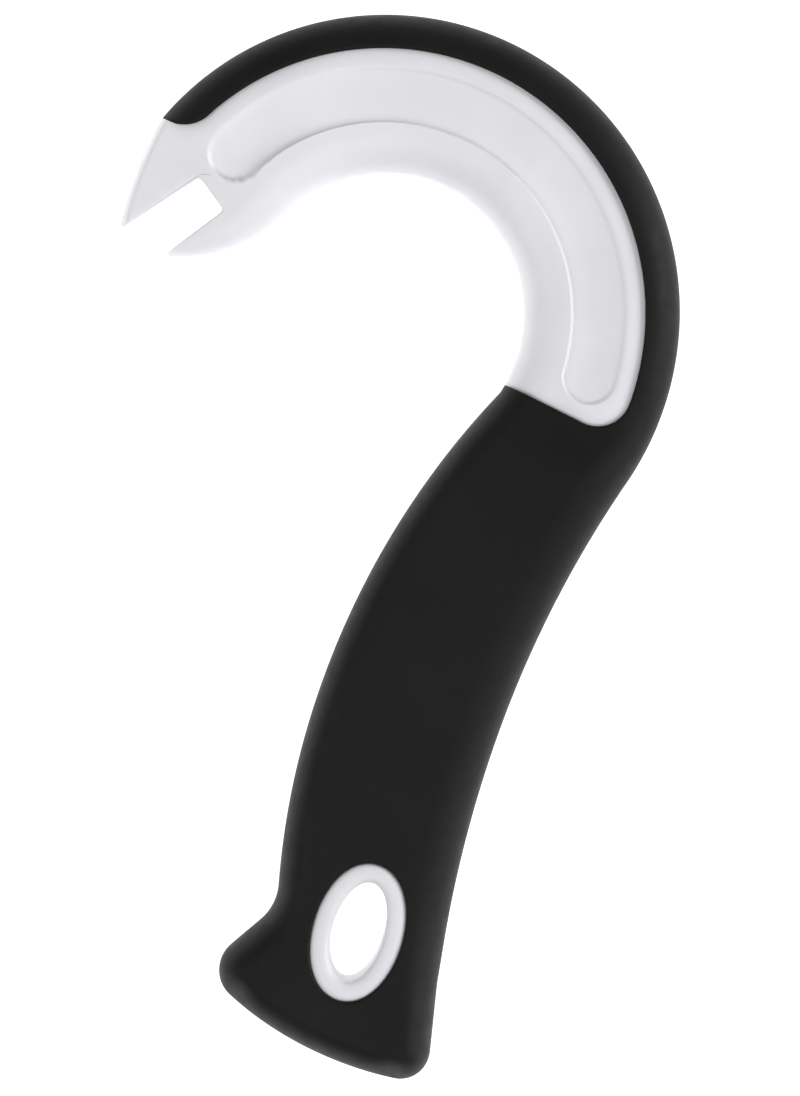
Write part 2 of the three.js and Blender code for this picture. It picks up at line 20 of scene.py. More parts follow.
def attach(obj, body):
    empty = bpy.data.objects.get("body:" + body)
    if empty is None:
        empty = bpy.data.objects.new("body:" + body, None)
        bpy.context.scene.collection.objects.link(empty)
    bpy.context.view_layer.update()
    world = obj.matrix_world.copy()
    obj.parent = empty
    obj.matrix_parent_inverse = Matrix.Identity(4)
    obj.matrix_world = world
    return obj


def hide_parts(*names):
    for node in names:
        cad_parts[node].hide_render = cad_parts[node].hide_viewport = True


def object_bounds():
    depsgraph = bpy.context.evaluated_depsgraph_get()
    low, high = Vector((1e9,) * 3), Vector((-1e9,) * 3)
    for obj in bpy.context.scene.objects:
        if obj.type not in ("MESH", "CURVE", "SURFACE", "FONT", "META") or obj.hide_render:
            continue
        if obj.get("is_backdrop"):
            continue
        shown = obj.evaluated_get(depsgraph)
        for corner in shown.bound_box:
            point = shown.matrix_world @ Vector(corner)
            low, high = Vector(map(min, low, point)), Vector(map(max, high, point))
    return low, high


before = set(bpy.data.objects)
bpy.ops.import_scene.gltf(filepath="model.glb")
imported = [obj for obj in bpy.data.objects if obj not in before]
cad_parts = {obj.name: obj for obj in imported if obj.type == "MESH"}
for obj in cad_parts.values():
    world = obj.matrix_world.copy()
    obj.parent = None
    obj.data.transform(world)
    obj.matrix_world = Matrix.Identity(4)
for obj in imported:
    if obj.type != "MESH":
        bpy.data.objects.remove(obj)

Array = NDArray[np.float64]

MM = 0.001
BODY = "root"
BLOCK = 4000  # points whose distances are worked out at once

log = logging.getLogger("opener")


class Slot(Enum):
    """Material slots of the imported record."""

    HARD_WHITE = "hard_white"
    SOFT_BLACK = "soft_black"
    EYELET_WHITE = "eyelet_white"


class Side(Enum):
    """The tool's two faces."""

    FRONT = 1.0
    BACK = -1.0


# ---- curves and distances ---------------------------------------------------------------------


def polar(angle: Array | float, radius: Array | float) -> Array:
    """Points at angles in degrees and radii about the bow centre."""
    turned = np.radians(angle)
    return np.stack(np.broadcast_arrays(radius * np.cos(turned), radius * np.sin(turned)), axis=-1)


def bearings(plan: Array) -> tuple[Array, Array]:
    """Angle, counted from -90 to 270 degrees, and radius of each point about the bow centre."""
    angle = np.degrees(np.arctan2(plan[..., 1], plan[..., 0]))
    return np.where(angle < -90.0, angle + 360.0, angle), np.linalg.norm(plan, axis=-1)


def ease(x: Array) -> Array:
    """Smooth step from 0 to 1: 3x^2 - 2x^3 on x held between 0 and 1."""
    held = np.clip(x, 0.0, 1.0)
    return held * held * (3.0 - 2.0 * held)


def edge_round(distance: Array, radius: Array | float) -> Array:
    """Height factor of a quarter-round edge: a circle of the given radius, then level."""
    short = 1.0 - np.clip(distance / radius, 0.0, 1.0)
    return np.sqrt(np.maximum(1.0 - short * short, 0.0))


def mix(start: Array | float, end: Array | float, share: Array | float) -> Array:
    """Straight mix of two values."""
    return start + (end - start) * share


def resample(line: Array, fractions: Array) -> Array:
    """Points of a line at the given fractions of its length."""
    reach = np.concatenate([[0.0], np.cumsum(np.linalg.norm(np.diff(line, axis=0), axis=1))])
    at = np.asarray(fractions) * reach[-1]
    return np.stack([np.interp(at, reach, line[:, 0]), np.interp(at, reach, line[:, 1])], axis=-1)


def round_corner(before: Array, corner: Array, after: Array, radius: float, count: int) -> Array:
    """Arc that rounds a corner, from one tangent point to the other.

    Args:
        before: a point on the line that leads to the corner.
        corner: the sharp corner.
        after: a point on the line that leads away.
        radius: the arc's radius.
        count: number of steps on the arc.

    Returns:
        The arc's points, in order.
    """
    back = (before - corner) / np.linalg.norm(before - corner)
    ahead = (after - corner) / np.linalg.norm(after - corner)
    half = np.arccos(np.clip(back @ ahead, -1.0, 1.0)) / 2.0
    middle = (back + ahead) / np.linalg.norm(back + ahead)
    centre = corner + middle * radius / np.sin(half)
    start = corner + back * radius / np.tan(half) - centre
    sign = np.sign(ahead[0] * back[1] - ahead[1] * back[0])
    turn = sign * (np.pi - 2.0 * half) * np.linspace(0.0, 1.0, count + 1)
    cos, sin = np.cos(turn), np.sin(turn)
    x, y = start[0] * cos - start[1] * sin, start[0] * sin + start[1] * cos
    return centre + np.stack([x, y], axis=-1)


def distance_to(points: Array, line: Array) -> Array:
    """Shortest distance from each point to a line of straight pieces.

    Args:
        points: points in the plane, on any grid.
        line: the line's corner points, in order.

    Returns:
        The distances, on the same grid.
    """
    flat = points.reshape(-1, 2)
    start, along = line[:-1], np.diff(line, axis=0)
    length = np.maximum((along * along).sum(axis=1), 1e-12)
    best = np.empty(len(flat))
    for first in range(0, len(flat), BLOCK):
        here = flat[first : first + BLOCK, None, :] - start[None, :, :]
        share = np.clip((here * along).sum(axis=2) / length, 0.0, 1.0)
        gap = here - share[..., None] * along
        best[first : first + BLOCK] = np.sqrt((gap * gap).sum(axis=2).min(axis=1))
    return best.reshape(points.shape[:-1])


def reach_along(points: Array, line: Array) -> Array:
    """Place along a line of the spot on it that lies nearest to each point."""
    flat = points.reshape(-1, 2)
    steps = np.linalg.norm(np.diff(line, axis=0), axis=1)
    reach = np.concatenate([[0.0], np.cumsum(steps)])
    start, along = line[:-1], np.diff(line, axis=0)
    found = np.empty(len(flat))
    for first in range(0, len(flat), BLOCK):
        here = flat[first : first + BLOCK, None, :] - start[None, :, :]
        share = np.clip((here * along).sum(axis=2) / (steps * steps), 0.0, 1.0)
        gap = here - share[..., None] * along
        best = (gap * gap).sum(axis=2).argmin(axis=1)
        rows = np.arange(len(best))
        found[first : first + BLOCK] = reach[best] + share[rows, best] * steps[best]
    return found.reshape(points.shape[:-1])


# ---- outline ----------------------------------------------------------------------------------


@dataclass(frozen=True)
class Outline:
    """The tool's silhouette and the seam between its hard and soft parts, in mm and degrees."""

    bow_radius: float = 21.7
    bow_growth: float = 2.1
    bow_round_to: float = 110.0
    back_radius_at_fork: float = 47.8
    back_growth: float = 1.65
    hook_radius: float = 35.6
    throat_angle: float = -37.0
    tongue_angle: float = 140.0

    flare_angle: float = 134.5
    flare_radius: float = 26.0
    flare_sweep: float = 49.0
    upper_tip_angle: float = 163.4
    upper_tip_inset: float = 2.4
    upper_prong_bow: float = 1.3

    spine_width: float = 5.6
    spine_swell: float = 0.62
    lobe_angle: float = -30.4
    lobe_corner: float = 5.5
    seam_angle: float = -33.6
    tongue_corner_angle: float = 139.0
    tongue_corner: float = 6.0
    lobe_run: float = 1.2
    tongue_run: float = 0.9

    handle_length: float = 112.95
    handle_bend: float = 165.0
    tail_tilt: float = 6.0
    left_belly: float = 15.4
    left_belly_at: float = 57.0
    right_belly: float = 14.9
    right_belly_at: float = 48.0
    left_tail: float = 13.3
    right_tail: float = 13.35
    tail_at: float = 96.0

    heel_ramp: float = 26.9
    heel_fillet: float = 7.0
    heel_back: float = 15.3
    heel_reach: float = 25.6
    heel_corner: float = 5.6
    tail_corner: float = 5.0
    tail_run: float = 1.2
    tail_bow_back: float = 2.8
    tail_bow_out: float = 8.2
    heel_lead: float = 4.8

    def toward_throat(self, angle: Array | float) -> Array:
        """0 beside the fork, 1 at the throat."""
        return (self.tongue_angle - angle) / (self.tongue_angle - self.throat_angle)

    def back_radius(self, angle: Array | float) -> Array:
        """Radius of the hook's outside edge, which opens out with the cube of the turn."""
        share = np.maximum(self.toward_throat(angle), 0.0)
        return self.back_radius_at_fork + self.back_growth * share**3

    def spine_radius(self, angle: Array | float) -> Array:
        """Radius of the seam beside the soft back, whose width swells by a parabola halfway."""
        share = self.toward_throat(angle)
        swell = self.spine_swell * 4 * share * (1 - share)
        return self.back_radius(angle) - self.spine_width - swell

    def inside_radius(self, angle: Array | float) -> Array:
        """Radius of the hook's inside edge, which opens out with the square of the turn."""
        share = np.maximum(self.bow_round_to - angle, 0.0) / (self.bow_round_to - self.throat_angle)
        return self.bow_radius + self.bow_growth * share**2

    def handle_place(self, along: Array | float, left: Array | float) -> Array:
        """Point of the handle: along its centreline from the throat, then left of it.

        The centreline is an arc that turns back from the hook's curve until it has the tail's
        tilt, and then a straight line.
        """
        at_throat, at_tail = np.radians(-self.throat_angle), np.radians(self.tail_tilt)
        curved = np.minimum(along, self.handle_bend * (at_throat - at_tail))
        tilt = at_throat - curved / self.handle_bend
        start = polar(self.throat_angle, self.hook_radius)
        straight = along - curved
        x = start[0] - self.handle_bend * (np.cos(tilt) - np.cos(at_throat))
        y = start[1] - self.handle_bend * (np.sin(at_throat) - np.sin(tilt))
        x = x - straight * np.sin(tilt) - left * np.cos(tilt)
        y = y - straight * np.cos(tilt) + left * np.sin(tilt)
        return np.stack(np.broadcast_arrays(x, y), axis=-1)

    def _belly(
        self, along: Array, throat: float, belly: float, belly_at: float, tail: float
    ) -> Array:
        """Half width: two parabolas that meet at the belly.

        Args:
            along: places along the centreline.
            throat: half width at the throat.
            belly: half width at the belly.
            belly_at: the belly's place.
            tail: half width where the tail's sides turn parallel.

        Returns:
            The half width at each place.
        """
        held = np.minimum(along, self.tail_at)
        before = held < belly_at
        drop = np.where(before, belly - throat, belly - tail)
        span = np.where(before, belly_at, self.tail_at - belly_at)
        return belly - drop * ((held - belly_at) / span) ** 2

    def left_width(self, along: Array | float) -> Array:
        """Half width on the side of the bow and the heel."""
        throat = self.hook_radius - float(self.inside_radius(self.throat_angle))
        return self._belly(
            np.asarray(along), throat, self.left_belly, self.left_belly_at, self.left_tail
        )

    def right_width(self, along: Array | float) -> Array:
        """Half width on the side of the hook's back."""
        throat = float(self.back_radius(self.throat_angle)) - self.hook_radius
        return self._belly(
            np.asarray(along), throat, self.right_belly, self.right_belly_at, self.right_tail
        )

    @property
    def tail_start(self) -> float:
        """Where the heel and tail begin."""
        return self.handle_length - self.heel_ramp - self.heel_lead

    def flare(self, steps: int = 80) -> Array:
        """Lower prong's edge: an arc that turns out of the inside edge, from there to its tip."""
        centre = polar(self.flare_angle, self.inside_radius(self.flare_angle) + self.flare_radius)
        angles = self.flare_angle + 180.0 - np.linspace(0.0, self.flare_sweep, steps + 1)
        return centre + polar(angles, self.flare_radius)

    def upper_tip(self) -> Array:
        """Point of the upper prong."""
        radius = self.back_radius(self.upper_tip_angle) - self.upper_tip_inset
        return polar(self.upper_tip_angle, radius)

    def upper_prong(self, steps: int = 60) -> Array:
        """Upper prong's outer edge, from the tongue to its tip: a parabola bowed outwards."""
        tongue = polar(self.tongue_angle, self.back_radius(self.tongue_angle))
        tip = self.upper_tip()
        bow = polar((self.tongue_angle + self.upper_tip_angle) / 2.0, self.upper_prong_bow)
        control = (tongue + tip) / 2.0 + bow
        t = np.linspace(0.0, 1.0, steps + 1)[:, None]
        return (1 - t) ** 2 * tongue + 2 * t * (1 - t) * control + t**2 * tip

    def hook_back(self, start: float, end: float, steps: int = 360) -> Array:
        """Hook's outside edge between two angles."""
        angles = np.linspace(start, end, steps + 1)
        return polar(angles, self.back_radius(angles))

    def hook_inside(self, start: float, end: float, steps: int = 360) -> Array:
        """Hook's inside edge between two angles."""
        angles = np.linspace(start, end, steps + 1)
        return polar(angles, self.inside_radius(angles))

    def tail_points(self) -> dict[str, Array]:
        """Sharp corners of the heel and tail, as places along and left of the centreline."""
        end = self.handle_length
        ramp = end - self.heel_ramp
        return {
            "left_start": np.array([self.tail_start, float(self.left_width(self.tail_start))]),
            "right_start": np.array([self.tail_start, -float(self.right_width(self.tail_start))]),
            "ramp": np.array([ramp, float(self.left_width(ramp))]),
            "heel": np.array([end - self.heel_back, self.heel_reach]),
            "bow": np.array([end - self.tail_bow_back, self.tail_bow_out]),
            "corner": np.array([end, -float(self.right_width(end))]),
        }

    def tail_left(self) -> Array:
        """Left edge of the tail: fillet, ramp and rounded heel corner."""
        p = self.tail_points()
        fillet = round_corner(p["left_start"], p["ramp"], p["heel"], self.heel_fillet, 24)
        heel = round_corner(p["ramp"], p["heel"], p["bow"], self.heel_corner, 40)
        local = np.concatenate([p["left_start"][None], fillet, heel])
        return self.handle_place(local[:, 0], local[:, 1])

    def tail_right(self) -> Array:
        """Right edge of the tail, with its rounded corner."""
        p = self.tail_points()
        straight_end = self.handle_length - self.tail_run * self.tail_corner
        alongs = np.linspace(self.tail_start, straight_end, 24)
        straight = np.stack([alongs, -self.right_width(alongs)], axis=-1)
        corner = round_corner(straight[-1], p["corner"], p["bow"], self.tail_corner, 32)
        local = np.concatenate([straight, corner])
        return self.handle_place(local[:, 0], local[:, 1])

    def tail_end(self, steps: int = 80) -> Array:
        """Bowed end of the tail: a parabola from its right corner to its heel."""
        p = self.tail_points()
        right, left = self.tail_right()[-1], self.tail_left()[-1]
        bow = self.handle_place(p["bow"][0], p["bow"][1])
        t = np.linspace(0.0, 1.0, steps + 1)[:, None]
        return (1 - t) ** 2 * right + 2 * t * (1 - t) * bow + t**2 * left

    def handle_left(self, steps: int = 240) -> Array:
        """Left edge of the handle, from the seam's inner end to the heel."""
        inside = self.hook_inside(self.seam_angle, self.throat_angle, 12)[:-1]
        alongs = np.linspace(0.0, self.tail_start, steps + 1)[:-1]
        edge = self.handle_place(alongs, self.left_width(alongs))
        return np.concatenate([inside, edge, self.tail_left()])

    def handle_right(self, steps: int = 240) -> Array:
        """Right edge of the handle, from the throat to the tail's corner."""
        alongs = np.linspace(0.0, self.tail_start, steps + 1)[:-1]
        edge = self.handle_place(alongs, -self.right_width(alongs))
        return np.concatenate([edge, self.tail_right()])

    def seam(self) -> Array:
        """Seam from the silhouette beside the fork, round the tongue and the lobe, to the bow."""
        inner = polar(self.seam_angle, self.inside_radius(self.seam_angle))
        lobe = polar(self.lobe_angle, self.spine_radius(self.lobe_angle))
        tongue = polar(self.tongue_corner_angle, self.spine_radius(self.tongue_corner_angle))
        tip = polar(self.tongue_angle, self.back_radius(self.tongue_angle))
        lobe_turn = np.degrees(self.lobe_run * self.lobe_corner / np.linalg.norm(lobe))
        tongue_turn = np.degrees(self.tongue_run * self.tongue_corner / np.linalg.norm(tongue))
        first, last = self.lobe_angle + lobe_turn, self.tongue_corner_angle - tongue_turn
        angles = np.linspace(last, first, 400)
        arc = polar(angles, self.spine_radius(angles))
        return np.concatenate([
            tip[None],
            round_corner(tip, tongue, arc[0], self.tongue_corner, 24),
            arc[1:-1],
            round_corner(arc[-1], lobe, inner, self.lobe_corner, 40),
            inner[None],
        ])

    def silhouette(self) -> Array:
        """Every edge point, for the outline's box."""
        return np.concatenate([
            self.upper_prong(), self.hook_back(self.tongue_angle, self.throat_angle),
            self.handle_right(), self.tail_end(), self.handle_left(), self.flare(),
        ])


@dataclass
class Placing:
    """Carries millimetres about the bow centre into the frame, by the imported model's box."""

    outline: Outline
    low: Array
    high: Array
    shift: Array = field(init=False)

    def __post_init__(self) -> None:
        """Lines the outline's box up with the frame's."""
        edge = self.outline.silhouette()
        middle = (edge.min(axis=0) + edge.max(axis=0)) / 2.0
        box = (self.low + self.high) / 2.0
        self.shift = np.array([box[0] / MM - middle[0], box[1] / MM - middle[1], box[2] / MM])

    def place(self, points: Array) -> Array:
        """Frame points, in metres, of points about the bow centre and the middle plane."""
        return (points + self.shift) * MM


# ---- mesh making ------------------------------------------------------------------------------


def spread(
    width: Array, near: Array | float, far: Array | float, counts: tuple[int, int, int]
) -> Array:
    """Fractions across rows: close steps in both rounded edges and even steps between them.

    In an edge the k-th of n steps stands at 1 - cos(90 k / n degrees) of the edge, so that the
    steps are equal turns of a quarter circle.

    Args:
        width: each row's width.
        near: width of the rounded edge at the row's start.
        far: width of the rounded edge at its end.
        counts: steps in the near edge, between the edges and in the far edge.

    Returns:
        One row of fractions, from 0 to 1, for each width.
    """
    safe = np.maximum(width, 1e-6)
    start = (np.minimum(near, 0.45 * safe) / safe)[:, None]
    end = (np.minimum(far, 0.45 * safe) / safe)[:, None]
    turn_in = 1.0 - np.cos(np.linspace(0.0, np.pi / 2.0, counts[0] + 1))
    turn_out = 1.0 - np.cos(np.linspace(np.pi / 2.0, 0.0, counts[2] + 1))
    even = np.linspace(0.0, 1.0, counts[1] + 1)[1:-1]
    middle = start + (1.0 - end - start) * even[None, :]
    return np.concatenate([start * turn_in[None, :], middle, 1.0 - end * turn_out[None, :]], axis=1)


def across(start: Array, end: Array, fractions: Array) -> Array:
    """Grid of points on straight rows from start to end, at each row's fractions."""
    return start[:, None, :] + (end - start)[:, None, :] * fractions[:, :, None]


def quads_between(index: NDArray[np.int64]) -> NDArray[np.int64]:
    """Corner numbers of the quads between a grid's neighbouring points."""
    return np.stack([index[:-1, :-1], index[1:, :-1], index[1:, 1:], index[:-1, 1:]], axis=-1)


class Shell:
    """Gathers grids of points into one closed mesh that is mirrored about the middle plane."""

    def __init__(self, name: str, placing: Placing) -> None:
        """Starts an empty shell."""
        self.name = name
        self.placing = placing
        self.points: list[Array] = []
        self.quads: list[NDArray[np.int64]] = []
        self.count = 0

    def add(self, points: Array, quads: Array) -> None:
        """Adds loose points and the quads between them."""
        self.points.append(points.reshape(-1, 3))
        self.quads.append(quads + self.count)
        self.count += points.size // 3

    def add_grid(self, grid: Array, keep: Array | None = None) -> None:
        """Adds a rows by columns by 3 grid of points as quads, all of them or those to keep."""
        rows, columns = grid.shape[:2]
        index = np.arange(rows * columns).reshape(rows, columns)
        corners = quads_between(index)
        self.add(grid, corners[keep] if keep is not None else corners.reshape(-1, 4))

    def add_faces(self, plan: Array, height: Array, keep: Array | None = None) -> None:
        """Adds a sheet over the plan, at its height on the front and below it on the back."""
        for side in Side:
            self.add_grid(np.concatenate([plan, side.value * height[..., None]], axis=-1), keep)

    def add_wall(self, plan: Array, height: Array, steps: int = 4) -> None:
        """Joins the front's and the back's edge along a line with an upright wall."""
        shares = np.linspace(1.0, -1.0, steps + 1)
        line = np.broadcast_to(plan[None], (steps + 1, *plan.shape))
        heights = shares[:, None] * height[None, :]
        self.add_grid(np.concatenate([line, heights[..., None]], axis=-1))

    def build(self, merge: float = 0.002) -> bpy.types.Object:
        """Makes the object, with shared edges merged and faces turned outwards.

        Args:
            merge: distance in mm under which points become one.

        Returns:
            The object, linked to the scene and smooth.
        """
        points = self.placing.place(np.concatenate(self.points))
        quads = np.concatenate(self.quads)
        mesh = bpy.data.meshes.new(self.name)
        mesh.from_pydata(points, [], quads)
        shape = bmesh.new()
        shape.from_mesh(mesh)
        bmesh.ops.remove_doubles(shape, verts=shape.verts, dist=merge * MM)
        bmesh.ops.recalc_face_normals(shape, faces=shape.faces)
        open_edges = sum(1 for edge in shape.edges if not edge.is_manifold)
        shape.to_mesh(mesh)
        shape.free()
        mesh.shade_smooth()
        mesh.update()
        piece = bpy.data.objects.new(self.name, mesh)
        bpy.context.scene.collection.objects.link(piece)
        log.info("%s: %d faces, %d open edges", self.name, len(mesh.polygons), open_edges)
        return piece


# ---- finishes ---------------------------------------------------------------------------------


class NodeTree:
    """Short way to lay out and link shader nodes."""

    def __init__(self, name: str) -> None:
        """Makes a material with its own node tree."""
        self.material = bpy.data.materials.new(name)
        self.material.use_nodes = True
        self.nodes = self.material.node_tree.nodes
        self.links = self.material.node_tree.links
        self.shader = self.nodes["Principled BSDF"]
        self.place = self.nodes.new("ShaderNodeTexCoord").outputs["Object"]

    def noise(self, scale: float, detail: float, roughness: float) -> bpy.types.NodeSocket:
        """Noise on the piece's own coordinates."""
        node = self.nodes.new("ShaderNodeTexNoise")
        node.inputs["Scale"].default_value = scale
        node.inputs["Detail"].default_value = detail
        node.inputs["Roughness"].default_value = roughness
        self.links.new(self.place, node.inputs["Vector"])
        return node.outputs["Fac"]

    def ramp(self, value: bpy.types.NodeSocket, low: tuple, high: tuple) -> bpy.types.NodeSocket:
        """Colour between low and high as the value rises from 0.35 to 0.65."""
        node = self.nodes.new("ShaderNodeValToRGB")
        stops = ((0.35, low), (0.65, high))
        for element, (position, colour) in zip(node.color_ramp.elements, stops):
            element.position, element.color = position, (*colour, 1.0)
        self.links.new(value, node.inputs["Fac"])
        return node.outputs["Color"]

    def span(self, value: bpy.types.NodeSocket, low: float, high: float) -> bpy.types.NodeSocket:
        """Value mapped from 0.3..0.7 to low..high."""
        node = self.nodes.new("ShaderNodeMapRange")
        node.inputs["From Min"].default_value, node.inputs["From Max"].default_value = 0.3, 0.7
        node.inputs["To Min"].default_value, node.inputs["To Max"].default_value = low, high
        self.links.new(value, node.inputs["Value"])
        return node.outputs["Result"]

    def bump(self, height: bpy.types.NodeSocket, depth: float,
             under: bpy.types.NodeSocket | None = None) -> bpy.types.NodeSocket:
        """Normal raised by a height field of the given depth in metres."""
        node = self.nodes.new("ShaderNodeBump")
        node.inputs["Distance"].default_value = depth
        self.links.new(height, node.inputs["Height"])
        if under is not None:
            self.links.new(under, node.inputs["Normal"])
        return node.outputs["Normal"]

    def feed(self, socket: str, value: bpy.types.NodeSocket) -> None:
        """Links a value to one of the shader's sockets."""
        self.links.new(value, self.shader.inputs[socket])

    def fix(self, **values: float) -> None:
        """Sets the shader's even values; an underscore stands for a space."""
        for name, value in values.items():
            self.shader.inputs[name.replace("_", " ")].default_value = value


@dataclass(frozen=True)
class Finish:
    """Moulded finish: a slightly clouded colour, uneven gloss and a fine skin.

    The cloud, wear and wave patterns are each a noise's scale, detail and roughness.
    """

    name: str
    low: tuple[float, float, float]
    high: tuple[float, float, float]
    gloss: tuple[float, float]
    grain: float
    grain_depth: float
    wave_depth: float
    specular: float
    subsurface: float = 0.0
    cloud: tuple[float, float, float] = (55.0, 3.0, 0.5)
    wear: tuple[float, float, float] = (420.0, 4.0, 0.6)
    wave: tuple[float, float, float] = (70.0, 2.0, 0.4)
    scatter: float = 0.004
    scatter_scale: float = 0.4

    def make(self) -> bpy.types.Material:
        """Builds the material."""
        tree = NodeTree(self.name)
        tree.feed("Base Color", tree.ramp(tree.noise(*self.cloud), self.low, self.high))
        tree.feed("Roughness", tree.span(tree.noise(*self.wear), *self.gloss))
        wave = tree.bump(tree.noise(*self.wave), self.wave_depth)
        grain = tree.bump(tree.noise(self.grain, 3.0, 0.6), self.grain_depth, wave)
        tree.feed("Normal", grain)
        tree.fix(Specular_IOR_Level=self.specular, Subsurface_Weight=self.subsurface,
                 Subsurface_Scale=self.scatter_scale)
        tree.shader.inputs["Subsurface Radius"].default_value = (self.scatter,) * 3
        return tree.material


HARD_WHITE = Finish("hard_white_plastic", (0.80, 0.80, 0.835), (0.845, 0.845, 0.875), (0.32, 0.44),
                    2600.0, 1.2e-5, 4e-5, 0.5, subsurface=0.12)
SOFT_BLACK = Finish("soft_black_elastomer", (0.0052, 0.0050, 0.0046), (0.0072, 0.0070, 0.0065),
                    (0.5, 0.6), 5200.0, 2.0e-5, 4e-5, 0.17)
EYELET_WHITE = Finish("eyelet_white_plastic", (0.76, 0.76, 0.79), (0.81, 0.81, 0.84), (0.34, 0.46),
                      2600.0, 1.2e-5, 3e-5, 0.5, subsurface=0.12)


# ---- pieces -----------------------------------------------------------------------------------


@dataclass
class Channel:
    """Sunk channel with round ends that follows the hook."""

    outline: Outline
    rim: float = 2.8
    width: float = 9.3
    inner_depth: float = 1.2
    outer_depth: float = 0.25
    start: float = -19.6
    end: float = 134.6
    soft_wall: float = 0.9
    crisp_wall: float = 0.3
    bead: float = 0.18
    bead_width: float = 1.1

    def middle(self, angle: Array | float) -> Array:
        """Radius of the channel's middle line."""
        return self.outline.spine_radius(angle) - self.rim - self.width / 2.0

    def sink(self, plan: Array) -> Array:
        """Height change at each point: the channel's depth inside, a bead on its inner lip.

        Distance from the channel's edge is measured from its middle arc, or from the arc's end
        points beyond them. The walls are smooth steps, broad on the outer side and narrow on the
        inner side. The floor is a parabola across, deep beside the inner wall and shallow beside
        the outer one. The lip beside the inner wall swells by an exponential of the distance.
        """
        angle, radius = bearings(plan)
        held = np.clip(angle, self.start, self.end)
        spot = polar(held, self.middle(held))
        gap = np.linalg.norm(plan - spot, axis=-1)
        inside = self.width / 2.0 - gap
        outward = ((plan - spot) * polar(held, 1.0)).sum(axis=-1) / np.maximum(gap, 1e-6)
        soft = ease((outward + 0.2) / 1.2)
        wall = mix(self.crisp_wall, self.soft_wall, soft)
        share = np.clip((radius - self.middle(held)) / self.width + 0.5, 0.0, 1.0)
        floor = mix(self.outer_depth, self.inner_depth, 1.0 - share**2)
        swell = np.exp(np.minimum(inside, 0.0) / self.bead_width) * (1.0 - soft)
        return swell * self.bead - (floor + self.bead * (1.0 - soft)) * ease(inside / wall)


@dataclass(frozen=True)
class ForkRow:
    """Row of points through the slot's floor, from the upper prong's edge to the flare.

    The centre, left and right are the places along it of the slot's middle and its two sides.
    """

    fractions: Array
    reach: float
    centre: float
    left: float
    right: float


